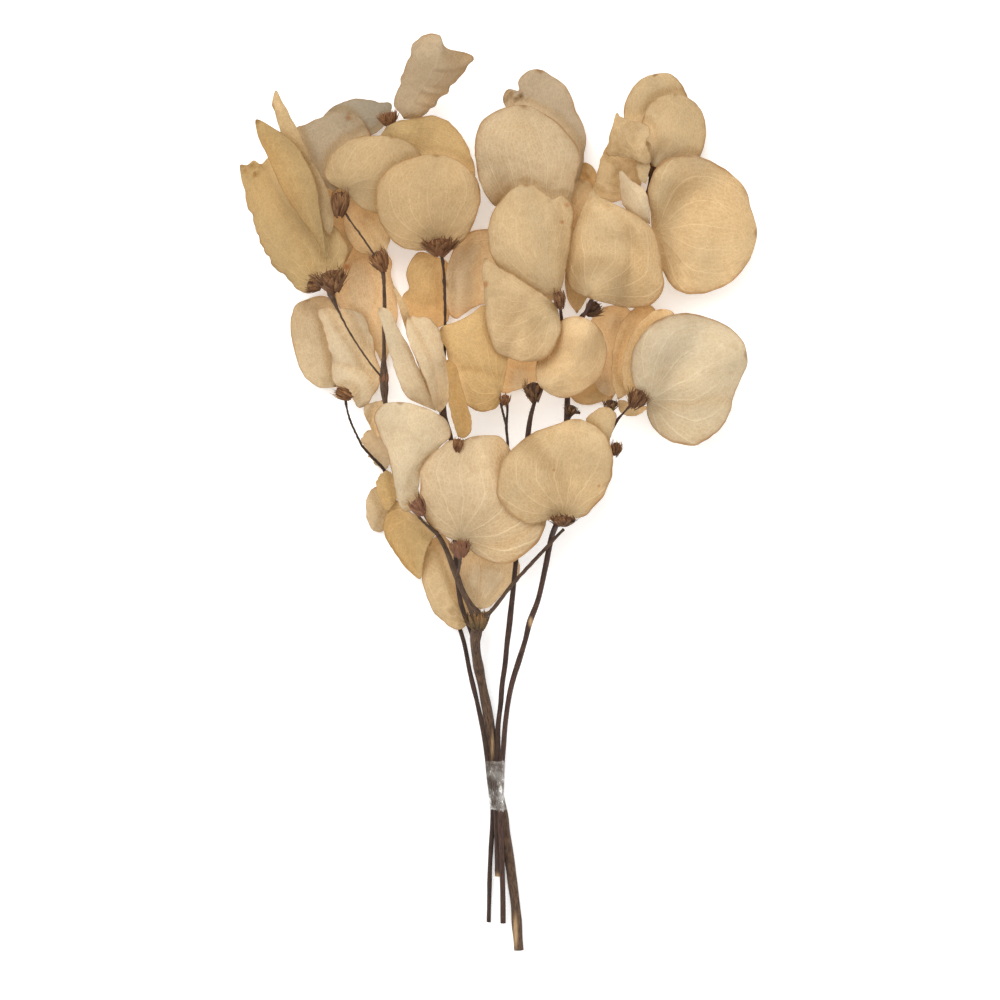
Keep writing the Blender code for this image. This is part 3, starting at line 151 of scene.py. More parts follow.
# From the surface upwards: what lies on what.
ORDER = """a.main A02 B08 B13 F06 E04 F02 J01 a.low I05 I03 I04 A12 A10 A03 C01 E01 B02 B15 E02 A11 I02 I01 C02 J02 B11 A08
c.main b.main a.top b.mid d.main e.main b.right e.k18 e.k14 e.k13 e.k12 e.low9 e.low11 e.stub c.k1 b.k3
F03 F04 F07 G02 B07 A01 A05 A04 A06 A07 A09 c.k6 b.k2 b.k4 B10 B09 B06 B12 B05
E03 F01 F05 e.k11 B01 B03 B04 e.k9 d.k7 d.k7b D03 D01 D02 H01 H02 G01 b.k15 b.k16 e.k17 D04""".split()


def through(points, count, steps=16):
    """A smooth curve through the points, read at count even steps of its length."""
    p = np.array(points, float)
    p = np.vstack([2 * p[0] - p[1], p, 2 * p[-1] - p[-2]])
    t = np.linspace(0, 1, steps, endpoint=False)[:, None]
    out = []
    for a, b, c, d in zip(p, p[1:], p[2:], p[3:]):
        ta, tb, tc = (max(float(np.linalg.norm((y - x)[:2])), 1e-6) ** 0.5 for x, y in ((a, b), (b, c), (c, d)))
        m1 = ((c - b) / tb - (c - a) / (ta + tb) + (b - a) / ta) * tb
        m2 = ((d - c) / tc - (d - b) / (tb + tc) + (c - b) / tb) * tb
        out.append((2 * t**3 - 3 * t**2 + 1) * b + (t**3 - 2 * t**2 + t) * m1 + (3 * t**2 - 2 * t**3) * c + (t**3 - t**2) * m2)
    out = np.vstack(out + [p[-2:-1]])
    return even(out, count)


def even(line, count, ease=False):
    run = np.concatenate([[0], np.cumsum(np.linalg.norm(np.diff(line[:, :2], axis=0), axis=1))])
    at = np.linspace(0, 1, count) if not ease else 0.5 - 0.5 * np.cos(np.linspace(0, math.pi, count))
    return np.stack([np.interp(at * run[-1], run, line[:, k]) for k in range(line.shape[1])], 1)


def fan(outline, tip, left, right, s, v):
    """Rows across a leaf from left to right, bowed so that they spread from the base like its veins."""
    foot, crown = np.array(outline[0], float), np.array(outline[tip], float)
    axis = (crown - foot) / np.linalg.norm(crown - foot)
    middle = (left + right) / 2
    lag = ((foot + (crown - foot) * s[:, None] - middle) @ axis)[:, None] * axis
    return (left[:, None] * (1 - v[None, :, None]) / 2 + right[:, None] * (1 + v[None, :, None]) / 2
            + lag[:, None] * (1 - v * v)[None, :, None])


def leaf_sheet(name, rows, columns, inset=0.0):
    """Plan points and heights of a leaf's middle surface, before it is stacked."""
    base, top, arch, edge_l, edge_r, crease, tip, outline = LEAF[name]
    fine = through(outline + [outline[0]], 900)
    turn = int(np.argmin(np.linalg.norm(fine - np.array(outline[tip], float), axis=1)))
    left = even(fine[: turn + 1], 400)
    right = even(fine[turn:][::-1], 400)
    s = 0.5 - 0.5 * np.cos(math.pi * np.linspace(inset, 1 - inset, rows + 1))
    at = np.linspace(0, 1, 400)
    left = np.stack([np.interp(s, at, left[:, k]) for k in (0, 1)], 1)
    right = np.stack([np.interp(s, at, right[:, k]) for k in (0, 1)], 1)
    v = np.linspace(-1, 1, columns + 1)
    wide = np.linalg.norm(right - left, axis=1)
    w = np.minimum(wide / 60.0, 1.0)
    plan = fan(outline, tip, left, right, s, v)
    bend = crease * np.abs(v) + (1 - crease) * v * v
    side = np.where(v < 0, edge_l, edge_r)
    z = base + (top - base) * s[:, None] + BOW * arch * 4 * (s * (1 - s))[:, None] + w[:, None] * (bend * side * CUP)[None, :]
    return plan, z


def cells(plan):
    i = np.clip(((plan[..., 0] - GRID_X) / CELL).astype(int), 0, CELLS_X - 1)
    j = np.clip(((plan[..., 1] - GRID_Y) / CELL).astype(int), 0, CELLS_Y - 1)
    return i, j


def widen(field, reach):
    for axis in (0, 1):
        field = np.max([np.roll(field, k, axis) for k in range(-reach, reach + 1)], axis=0)
    return field


def blur(field, reach):
    for axis in (0, 1):
        field = np.mean([np.roll(field, k, axis) for k in range(-reach, reach + 1)], axis=0)
    return field


def look(field, plan):
    x = np.clip((plan[..., 0] - GRID_X) / CELL - 0.5, 0, CELLS_X - 1.001)
    y = np.clip((plan[..., 1] - GRID_Y) / CELL - 0.5, 0, CELLS_Y - 1.001)
    i, j = x.astype(int), y.astype(int)
    a, b = x - i, y - j
    return (field[i, j] * (1 - a) + field[i + 1, j] * a) * (1 - b) + (field[i, j + 1] * (1 - a) + field[i + 1, j + 1] * a) * b


def stack():
    """Lays the pieces on one another in order. Gives each leaf's rise and each stem run's path."""
    high = np.zeros((CELLS_X, CELLS_Y))
    rise, runs = {}, {}
    for name in ORDER:
        if name in LEAF:
            plan, z = leaf_sheet(name, 70, 70)
            low = np.full_like(high, 1e9)
            i, j = cells(plan)
            np.minimum.at(low, (i, j), z)
            inside = low < 1e8
            under = np.where(high > 0, high + GAP, 0.35)
            need = np.where(inside, under - low, -1e9)
            first = need[inside].max()
            # The whole leaf moves up by part of what it needs, and the rest of the way it bends.
            flat = max(float(np.percentile(need[inside], 35)) if first > 0 else float(first), -14.0)
            field = np.where(inside, np.maximum(need - flat, 0), 0)
            field = blur(blur(widen(field, SOFT), SOFT // 2 + 1), SOFT // 2 + 1) + flat
            rise[name] = field
            z = z + look(field, plan)
            top = np.zeros_like(high)
            np.maximum.at(top, (i, j), z)
            high = np.maximum(high, top)
        else:
            stem, parent, points = STEM[name]
            pts = np.array(points, float)
            line = through(points, int(np.linalg.norm(np.diff(pts[:, :2], axis=0), axis=1).sum() / 2) + 2)
            if parent:
                other = runs[parent]
                near = int(np.argmin(np.linalg.norm(other[:, :2] - line[0, :2], axis=1)))
                start = other[near, 3] - line[0, 3]
                away = np.arange(len(line)) * 2.0
                line[:, 3] += start * np.clip(1 - away / 40, 0, 1)
            inside = line[:, 1] < GRID_Y + CELL * CELLS_Y - 6
            around = widen(high, 1)
            i, j = cells(line[:, :2])
            need = np.where(inside & (around[i, j] > 0), around[i, j] + GAP - 0.9 + line[:, 2] - line[:, 3], 0)
            need = np.maximum(need, 0)
            if parent:
                need[:4] = 0
            n = 8
            wide = np.max([np.concatenate([np.zeros(max(k, 0)), need, np.zeros(max(-k, 0))])[max(-k, 0):][: len(need)] for k in range(-n, n + 1)], axis=0)
            soft = np.convolve(np.pad(wide, n, mode="edge"), np.ones(2 * n + 1) / (2 * n + 1), "valid")
            if parent:
                soft *= np.clip(np.arange(len(soft)) / 6.0, 0, 1)
            line[:, 3] += soft
            runs[name] = line
            for x, y, r, z in line[inside]:
                k = int(math.ceil(r / UNIT / CELL))
                ci, cj = int((x - GRID_X) / CELL), int((y - GRID_Y) / CELL)
                for a in range(-k, k + 1):
                    for b in range(-k, k + 1):
                        if 0 <= ci + a < CELLS_X and 0 <= cj + b < CELLS_Y:
                            high[ci + a, cj + b] = max(high[ci + a, cj + b], z + r)
    return rise, runs, high


def place(plan, z):
    """Plan points and heights in mm to metres in the object's frame."""
    scale = UNIT * (EYE - z) / EYE
    return np.stack([(plan[..., 0] - PLAN_X) * scale + SHIFT_X, (PLAN_Y - plan[..., 1]) * scale + SHIFT_Y, z - DROP], -1) / 1000


def seed_of(name):
    return sum((k + 3) * ord(c) for k, c in enumerate(name)) % 9973


def waves(rng, shortest, longest, count):
    """A smooth random field over the plan, in mm: sines of mixed direction and length, about -1 to 1."""
    made = []
    for _ in range(count):
        turn = rng.uniform(0, 2 * math.pi)
        size = rng.uniform(shortest, longest)
        made.append((math.cos(turn) * 2 * math.pi / size, math.sin(turn) * 2 * math.pi / size, rng.uniform(0, 6.28)))
    return lambda x, y: sum(np.sin(a * x + b * y + c) for a, b, c in made) / (0.7 * len(made) ** 0.5 + 0.3)


def wiggle(rng, count, periods):
    """A smooth random function of one number, 0 to 1 along its run."""
    made = [(rng.uniform(*periods) * 2 * math.pi, rng.uniform(0, 6.28), rng.uniform(0.5, 1)) for _ in range(count)]
    return lambda t: sum(k * np.sin(a * t + b) for a, b, k in made) / (0.6 * len(made) ** 0.5 + 0.4)


def new_object(name, points, faces, uv=None, attributes=(), smooth=True, angle=60):
    mesh = bpy.data.meshes.new(name)
    points = np.asarray(points, float)
    mesh.from_pydata(points.tolist(), [], faces)
    mesh.update()
    if uv is not None:
        layer = mesh.uv_layers.new(name="along")
        loops = np.empty(len(mesh.loops), np.int32)
        mesh.loops.foreach_get("vertex_index", loops)
        layer.data.foreach_set("uv", np.asarray(uv, np.float32)[loops].ravel())
    for label, values in attributes:
        kept = mesh.attributes.new(label, "FLOAT", "POINT")
        kept.data.foreach_set("value", np.asarray(values, np.float32))
    obj = bpy.data.objects.new(name, mesh)
    bpy.context.scene.collection.objects.link(obj)
    if smooth:
        mesh.shade_smooth()
        mesh.set_sharp_from_angle(angle=math.radians(angle))
    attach(obj, "root")
    return obj


# ---------------------------------------------------------------- materials
def nodes_of(name):
    mat = bpy.data.materials.new(name)
    mat.use_nodes = True
    tree = mat.node_tree
    shader = tree.nodes["Principled BSDF"]

    def add(kind, **values):
        node = tree.nodes.new(kind)
        for key, value in values.items():
            setattr(node, key, value)
        return node

    def link(a, b):
        tree.links.new(a, b)

    def math_node(what, a, b=None, clamp=False):
        node = add("ShaderNodeMath", operation=what, use_clamp=clamp)
        for k, value in enumerate((a, b)):
            if value is None:
                continue
            if isinstance(value, (int, float)):
                node.inputs[k].default_value = value
            else:
                link(value, node.inputs[k])
        return node.outputs[0]

    def mix(amount, a, b, how="MIX"):
        node = add("ShaderNodeMix", data_type="RGBA", blend_type=how)
        for socket, value in ((node.inputs[0], amount), (node.inputs[6], a), (node.inputs[7], b)):
            if isinstance(value, (int, float)):
                socket.default_value = value
            elif isinstance(value, tuple):
                socket.default_value = (*value, 1)
            else:
                link(value, socket)
        return node.outputs[2]

    def span(value, low, high, to_low=0.0, to_high=1.0):
        node = add("ShaderNodeMapRange", clamp=True)
        link(value, node.inputs[0])
        for k, number in enumerate((low, high, to_low, to_high)):
            node.inputs[1 + k].default_value = number
        return node.outputs[0]

    return mat, shader, add, link, math_node, mix, span


def srgb(r, g, b):
    return tuple(((c / 255 + 0.055) / 1.055) ** 2.4 if c > 10 else c / 255 / 12.92 for c in (r, g, b))


def leaf_material(name, pale, deep, flecks, seed):
    """Dry papery leaf that lets light through: veins that fan out from its foot, side veins, a fine net, blotches."""
    mat, shader, add, link, calc, mix, span = nodes_of(name)
    rng = np.random.RandomState(seed)
    uv = add("ShaderNodeUVMap", uv_map="along")
    split = add("ShaderNodeSeparateXYZ")
    link(uv.outputs[0], split.inputs[0])
    across, along = split.outputs[0], split.outputs[1]
    where = add("ShaderNodeTexCoord")
    place_node = add("ShaderNodeMapping")
    place_node.inputs["Location"].default_value = tuple(rng.uniform(-3, 3, 3))
    link(where.outputs["Object"], place_node.inputs[0])
    spot = place_node.outputs[0]

    def noise(scale, detail=3.0, rough=0.55, vector=spot):
        node = add("ShaderNodeTexNoise")
        node.inputs["Scale"].default_value = scale
        node.inputs["Detail"].default_value = detail
        node.inputs["Roughness"].default_value = rough
        link(vector, node.inputs["Vector"])
        return node.outputs[0]

    def thin(value, width):
        """1 where value is near a whole number, falling to 0 at width from it."""
        off = calc("ABSOLUTE", calc("SUBTRACT", calc("FRACT", calc("ADD", value, 0.5)), 0.5))
        return span(off, width * 0.25, width, 1.0, 0.0)

    cloud = noise(34.0, 4.0, 0.6)
    broad = noise(14.0, 2.0)
    bend = noise(70.0, 3.0, 0.6)
    mottle = noise(230.0, 4.0, 0.65)
    grain = noise(1100.0, 3.0, 0.7)
    wander = calc("MULTIPLY", calc("SUBTRACT", bend, 0.5), 0.09)
    side = calc("ADD", calc("MULTIPLY", calc("SUBTRACT", across, 0.5), 2.0), wander)
    spread = calc("POWER", calc("ADD", along, 0.03), 0.42)
    fan_at = calc("DIVIDE", side, calc("MULTIPLY", spread, 0.46))
    width = calc("DIVIDE", span(along, 0.0, 0.8, 0.020, 0.010), calc("MULTIPLY", spread, 0.46))
    off = calc("ABSOLUTE", calc("SUBTRACT", calc("FRACT", calc("ADD", fan_at, 0.5)), 0.5))
    main = calc("SUBTRACT", 1.0, calc("DIVIDE", off, width), clamp=True)
    main = calc("MULTIPLY", main, span(along, 0.55, 0.98, 1.0, 0.15))
    rise = calc("ADD", calc("MULTIPLY", along, 8.0), calc("MULTIPLY", off, -4.5))
    rise = calc("ADD", rise, calc("MULTIPLY", calc("SUBTRACT", bend, 0.5), 1.6))
    branch = calc("MULTIPLY", thin(rise, 0.075), span(mottle, 0.35, 0.55, 0.25, 1.0))
    fine = thin(calc("ADD", calc("MULTIPLY", fan_at, 5.0), calc("MULTIPLY", mottle, 1.4)), 0.22)
    net = add("ShaderNodeTexVoronoi", feature="DISTANCE_TO_EDGE")
    net.inputs["Scale"].default_value = 520.0
    link(spot, net.inputs["Vector"])
    mesh_line = span(net.outputs[0], 0.0, 0.12, 1.0, 0.0)
    small = add("ShaderNodeTexVoronoi", feature="DISTANCE_TO_EDGE")
    small.inputs["Scale"].default_value = 1250.0
    link(spot, small.inputs["Vector"])
    small_line = span(small.outputs[0], 0.0, 0.16, 1.0, 0.0)
    warp = add("ShaderNodeVectorMath", operation="ADD")
    link(spot, warp.inputs[0])
    drift = add("ShaderNodeCombineXYZ")
    link(calc("MULTIPLY", cloud, 0.012), drift.inputs[0])
    link(calc("MULTIPLY", bend, 0.012), drift.inputs[1])
    link(drift.outputs[0], warp.inputs[1])
    web = add("ShaderNodeTexVoronoi", feature="DISTANCE_TO_EDGE")
    web.inputs["Scale"].default_value = 165.0
    link(warp.outputs[0], web.inputs["Vector"])
    web_line = calc("MULTIPLY", span(web.outputs[0], 0.0, 0.045, 1.0, 0.0), span(broad, 0.35, 0.60, 1.0, 0.35))
    cover = add("ShaderNodeAttribute", attribute_name="cover").outputs["Fac"]
    rim = add("ShaderNodeAttribute", attribute_name="rim").outputs["Fac"]
    painted_warm_shade = add("ShaderNodeAttribute", attribute_name="painted_warm_shade").outputs["Fac"]
    light = tuple(min(0.98, c * 1.16 + 0.03) for c in pale)
    colour = mix(span(cloud, 0.32, 0.68), pale, tuple(0.66 * a + 0.34 * b for a, b in zip(pale, deep)))
    colour = mix(span(broad, 0.42, 0.68, 0.0, 0.34), colour, deep)
    # Painted warm shade: a golden colour laid where the leaf lies in shade, in valleys and beside leaves over it.
    colour = mix(calc("MULTIPLY", painted_warm_shade, 0.75), colour, srgb(216, 174, 106))
    # Painted light: where other leaves lie over it the colour is painted paler, standing in for light that comes
    # through them.
    colour = mix(calc("MULTIPLY", cover, 0.35), colour, srgb(238, 216, 174))
    colour = mix(calc("MULTIPLY", small_line, 0.20), colour, deep)
    colour = mix(span(grain, 0.42, 0.66, 0.0, 0.22), colour, deep)
    colour = mix(calc("MULTIPLY", mesh_line, 0.34), colour, light)
    colour = mix(calc("MULTIPLY", web_line, 0.36), colour, light)
    colour = mix(calc("MULTIPLY", fine, 0.16), colour, light)
    colour = mix(calc("MULTIPLY", branch, 0.46), colour, light)
    colour = mix(calc("MULTIPLY", main, 0.85), colour, light)
    colour = mix(span(mottle, 0.52, 0.76, 0.0, 0.36), colour, deep)
    edge = calc("MULTIPLY", rim, span(noise(130.0, 3.0), 0.35, 0.65, 0.05, 0.60))
    colour = mix(edge, colour, srgb(178, 134, 80))
    out_side = calc("ABSOLUTE", calc("SUBTRACT", calc("MULTIPLY", across, 2.0), 1.0))
    brink = calc("MAXIMUM", span(out_side, 0.955, 0.985), calc("MAXIMUM", span(along, 0.962, 0.982), span(along, 0.030, 0.018)))
    brink = calc("MULTIPLY", brink, span(noise(90.0, 3.0), 0.38, 0.62, 0.15, 0.75))
    colour = mix(brink, colour, srgb(184, 136, 78))
    for x, y, size in flecks:
        flat = add("ShaderNodeVectorMath", operation="MULTIPLY")
        link(where.outputs["Object"], flat.inputs[0])
        flat.inputs[1].default_value = (1, 1, 0)
        gap = add("ShaderNodeVectorMath", operation="DISTANCE")
        link(flat.outputs[0], gap.inputs[0])
        gap.inputs[1].default_value = (x, y, 0.0)
        reach = calc("ADD", gap.outputs["Value"], calc("MULTIPLY", calc("SUBTRACT", mottle, 0.5), size * 1.4))
        colour = mix(span(reach, size * 0.3, size * 1.1, 0.62, 0.0), colour, srgb(196, 128, 66))
    tone = add("ShaderNodeAttribute", attribute_name="tone").outputs["Fac"]
    lit = add("ShaderNodeVectorMath", operation="SCALE")
    link(colour, lit.inputs[0])
    link(tone, lit.inputs["Scale"])
    colour = lit.outputs[0]
    link(colour, shader.inputs["Base Color"])
    link(span(cloud, 0.3, 0.7, 0.56, 0.70), shader.inputs["Roughness"])
    shader.inputs["Specular IOR Level"].default_value = 0.25
    relief = calc("ADD", calc("MULTIPLY", main, 1.3), calc("MULTIPLY", branch, 0.6))
    relief = calc("ADD", relief, calc("MULTIPLY", fine, 0.25))
    relief = calc("ADD", relief, calc("MULTIPLY", mesh_line, 0.40))
    relief = calc("ADD", relief, calc("MULTIPLY", web_line, 0.50))
    relief = calc("ADD", relief, calc("MULTIPLY", grain, 0.25))
    relief = calc("ADD", relief, calc("MULTIPLY", mottle, 0.8))
    bump = add("ShaderNodeBump")
    bump.inputs["Strength"].default_value = 0.60
    bump.inputs["Distance"].default_value = 0.00022
    link(relief, bump.inputs["Height"])
    link(bump.outputs[0], shader.inputs["Normal"])
    through_leaf = add("ShaderNodeBsdfTranslucent")
    link(colour, through_leaf.inputs["Color"])
    link(bump.outputs[0], through_leaf.inputs["Normal"])
    both = add("ShaderNodeMixShader")
    both.inputs[0].default_value = 0.48
    link(shader.outputs[0], both.inputs[1])
    link(through_leaf.outputs[0], both.inputs[2])
    out = next(n for n in mat.node_tree.nodes if n.type == "OUTPUT_MATERIAL")
    link(both.outputs[0], out.inputs["Surface"])
    return mat


def bark_material(name, dark, light, peel=0.0):
    """Dry bark: long fibres, cracks, pale flecks, and pale bare wood where it has peeled."""
    mat, shader, add, link, calc, mix, span = nodes_of(name)
    uv = add("ShaderNodeUVMap", uv_map="along")
    stretch = add("ShaderNodeMapping")
    stretch.inputs["Scale"].default_value = (7.0, 0.16, 1.0)
    link(uv.outputs[0], stretch.inputs[0])
    where = add("ShaderNodeTexCoord")

    def noise(scale, vector, detail=4.0, rough=0.6):
        node = add("ShaderNodeTexNoise")
        node.inputs["Scale"].default_value = scale
        node.inputs["Detail"].default_value = detail
        node.inputs["Roughness"].default_value = rough
        link(vector, node.inputs["Vector"])
        return node.outputs[0]

    fibre = noise(1.6, stretch.outputs[0], 6.0, 0.7)
    fine = noise(6.0, stretch.outputs[0], 3.0, 0.6)
    patch = noise(130.0, where.outputs["Object"], 3.0)
    grit = noise(1500.0, where.outputs["Object"], 3.0, 0.7)
    bare = add("ShaderNodeAttribute", attribute_name="bare").outputs["Fac"]
    colour = mix(span(fibre, 0.36, 0.66), dark, light)
    colour = mix(span(patch, 0.5, 0.75, 0.0, 0.45), colour, tuple(c * 0.45 for c in dark))
    colour = mix(span(fine, 0.58, 0.72, 0.0, 0.55), colour, tuple(min(1, c * 1.9) for c in light))
    wood = mix(span(fibre, 0.35, 0.7), srgb(196, 164, 120), srgb(140, 104, 72))
    colour = mix(bare, colour, wood)
    tip = add("ShaderNodeAttribute", attribute_name="tip").outputs["Fac"]
    colour = mix(calc("MULTIPLY", tip, span(patch, 0.36, 0.58, 0.25, 0.95)), colour, mix(span(grit, 0.35, 0.65), srgb(146, 96, 58), srgb(206, 160, 106)))
    link(colour, shader.inputs["Base Color"])
    link(span(fine, 0.3, 0.7, 0.55, 0.85), shader.inputs["Roughness"])
    shader.inputs["Specular IOR Level"].default_value = 0.3
    relief = calc("ADD", calc("MULTIPLY", fibre, 1.4), calc("MULTIPLY", fine, 0.5))
    relief = calc("ADD", relief, calc("MULTIPLY", grit, 0.3))
    bump = add("ShaderNodeBump")
    bump.inputs["Strength"].default_value = 0.8
    bump.inputs["Distance"].default_value = 0.0005
    link(relief, bump.inputs["Height"])
    link(bump.outputs[0], shader.inputs["Normal"])
    return mat


def tape_material():
    mat, shader, add, link, calc, mix, span = nodes_of("tape_film")
    where = add("ShaderNodeTexCoord")
    squeeze = add("ShaderNodeMapping")
    squeeze.inputs["Scale"].default_value = (1.0, 0.45, 1.0)
    link(where.outputs["Object"], squeeze.inputs[0])
    noise = add("ShaderNodeTexNoise")
    noise.inputs["Scale"].default_value = 420.0
    noise.inputs["Detail"].default_value = 4.0
    link(squeeze.outputs[0], noise.inputs["Vector"])
    haze = add("ShaderNodeTexNoise")
    haze.inputs["Scale"].default_value = 150.0
    haze.inputs["Detail"].default_value = 3.0
    link(where.outputs["Object"], haze.inputs["Vector"])
    colour = mix(span(haze.outputs[0], 0.35, 0.65), srgb(168, 160, 148), srgb(240, 238, 232))
    streak = add("ShaderNodeTexNoise")
    streak.inputs["Scale"].default_value = 260.0
    streak.inputs["Detail"].default_value = 2.0
    streak.inputs["Distortion"].default_value = 1.6
    link(squeeze.outputs[0], streak.inputs["Vector"])
    near = calc("ABSOLUTE", calc("SUBTRACT", streak.outputs[0], 0.5))
    # Painted glints: thin streaks painted near white and made more opaque, standing in for highlights on the wrinkles.
    painted_glint = calc("MULTIPLY", span(near, 0.008, 0.030, 1.0, 0.0), span(haze.outputs[0], 0.44, 0.58))
    colour = mix(painted_glint, colour, srgb(252, 251, 248))
    link(colour, shader.inputs["Base Color"])
    shader.inputs["Roughness"].default_value = 0.10
    see = calc("ADD", span(haze.outputs[0], 0.38, 0.68, 0.05, 0.26), calc("MULTIPLY", painted_glint, 0.70), clamp=True)
    link(see, shader.inputs["Alpha"])
    shader.inputs["IOR"].default_value = 1.48
    shader.inputs["Specular IOR Level"].default_value = 0.9
    bump = add("ShaderNodeBump")
    bump.inputs["Strength"].default_value = 0.9
    bump.inputs["Distance"].default_value = 0.0006
    link(noise.outputs[0], bump.inputs["Height"])
    link(bump.outputs[0], shader.inputs["Normal"])
    return mat


# ---------------------------------------------------------------- leaves
CREAM = srgb(231, 210, 169)
SAND = srgb(226, 203, 160)
PEACH = srgb(238, 219, 186)
GREY = srgb(207, 195, 173)
PINK = srgb(221, 202, 172)
WHITE = srgb(236, 222, 194)
GOLD = srgb(233, 206, 150)
AMBER = srgb(226, 192, 132)
DEEP = srgb(202, 170, 118)
DULL = srgb(190, 168, 134)
SKIN = {"cream": (CREAM, DEEP), "sand": (SAND, DEEP), "peach": (PEACH, DEEP), "grey": (GREY, DULL), "pink": (PINK, DULL),
        "white": (WHITE, srgb(212, 186, 142)), "gold": (GOLD, DEEP), "amber": (AMBER, srgb(192, 148, 84))}
# name: skin, how much of it is painted with warm shade, along which side (0 none, -1 left, 1 right, 2 foot, 3 all, 4
# tip), how bright
TINT = {
    "A01": ("pink", 0.50, 1, 0.89), "A02": ("grey", 0.1, 2, 0.79), "A03": ("pink", 0.2, 1, 0.81), "A04": ("sand", 0.15, 1, 0.90),
    "A05": ("gold", 0.60, 1, 0.88), "A06": ("sand", 0.15, 1, 0.96), "A07": ("cream", 0.10, 1, 0.90), "A08": ("gold", 0.45, 4, 0.81),
    "A09": ("gold", 0.80, 1, 0.82), "A10": ("cream", 0.2, 2, 1.00), "A11": ("cream", 0.0, 0, 1.06), "A12": ("peach", 0.1, 2, 1.06),
    "B01": ("peach", 0.10, 2, 0.86), "B02": ("pink", 0.1, 2, 0.88), "B03": ("cream", 0.30, 1, 0.92), "B04": ("cream", 0.10, 2, 0.96),
    "B05": ("cream", 0.35, -1, 0.96), "B06": ("cream", 0.25, 3, 0.97), "B07": ("cream", 0.15, 2, 0.89), "B08": ("cream", 0.30, 2, 0.88),
    "B09": ("cream", 0.3, 3, 0.97), "B10": ("cream", 0.1, 3, 0.95), "B11": ("sand", 0.4, 1, 0.96), "B12": ("white", 0.0, 0, 1.00),
    "B13": ("gold", 0.3, 3, 0.95), "B15": ("cream", 0.15, 3, 0.98), "C01": ("peach", 0.10, 1, 0.91), "C02": ("white", 0.10, 1, 0.98),
    "D01": ("white", 0.0, 0, 1.00), "D02": ("white", 0.35, -1, 1.02), "D03": ("cream", 0.3, 3, 1.0), "D04": ("amber", 0.9, 3, 0.94),
    "E01": ("gold", 0.4, 4, 1.08), "E02": ("white", 0.05, 2, 1.06), "E03": ("gold", 0.15, 3, 0.98), "E04": ("white", 0.05, 3, 1.25),
    "F01": ("cream", 0.10, 2, 1.08), "F02": ("white", 0.1, 1, 1.12), "F03": ("cream", 0.25, 3, 1.13), "F04": ("cream", 0.30, -1, 1.09),
    "F05": ("white", 0.05, 2, 0.87), "F06": ("sand", 0.1, 3, 0.98), "F07": ("cream", 0.0, 0, 1.05), "G01": ("cream", 0.35, 2, 0.97),
    "G02": ("cream", 0.1, 2, 0.96), "H01": ("white", 0.12, 2, 0.94), "H02": ("peach", 0.12, 1, 0.95), "I01": ("gold", 0.4, 3, 0.91),
    "I02": ("gold", 0.5, 1, 0.89), "I03": ("cream", 0.25, 2, 0.98), "I04": ("white", 0.2, 2, 1.03), "I05": ("peach", 0.2, 3, 0.93),
    "J01": ("grey", 0.0, 0, 1.02), "J02": ("peach", 0.2, 2, 1.0),
}
# Orange flecks: plan x, plan y, size in mm.
FLECKS = {"A03": [(348, 118, 1.6)], "A12": [(346, 267, 1.8)], "B03": [(567, 205, 1.3), (562, 222, 1.1)],
          "B04": [(486, 284, 1.6)], "G01": [(599, 486, 0.9), (554, 470, 0.8)]}
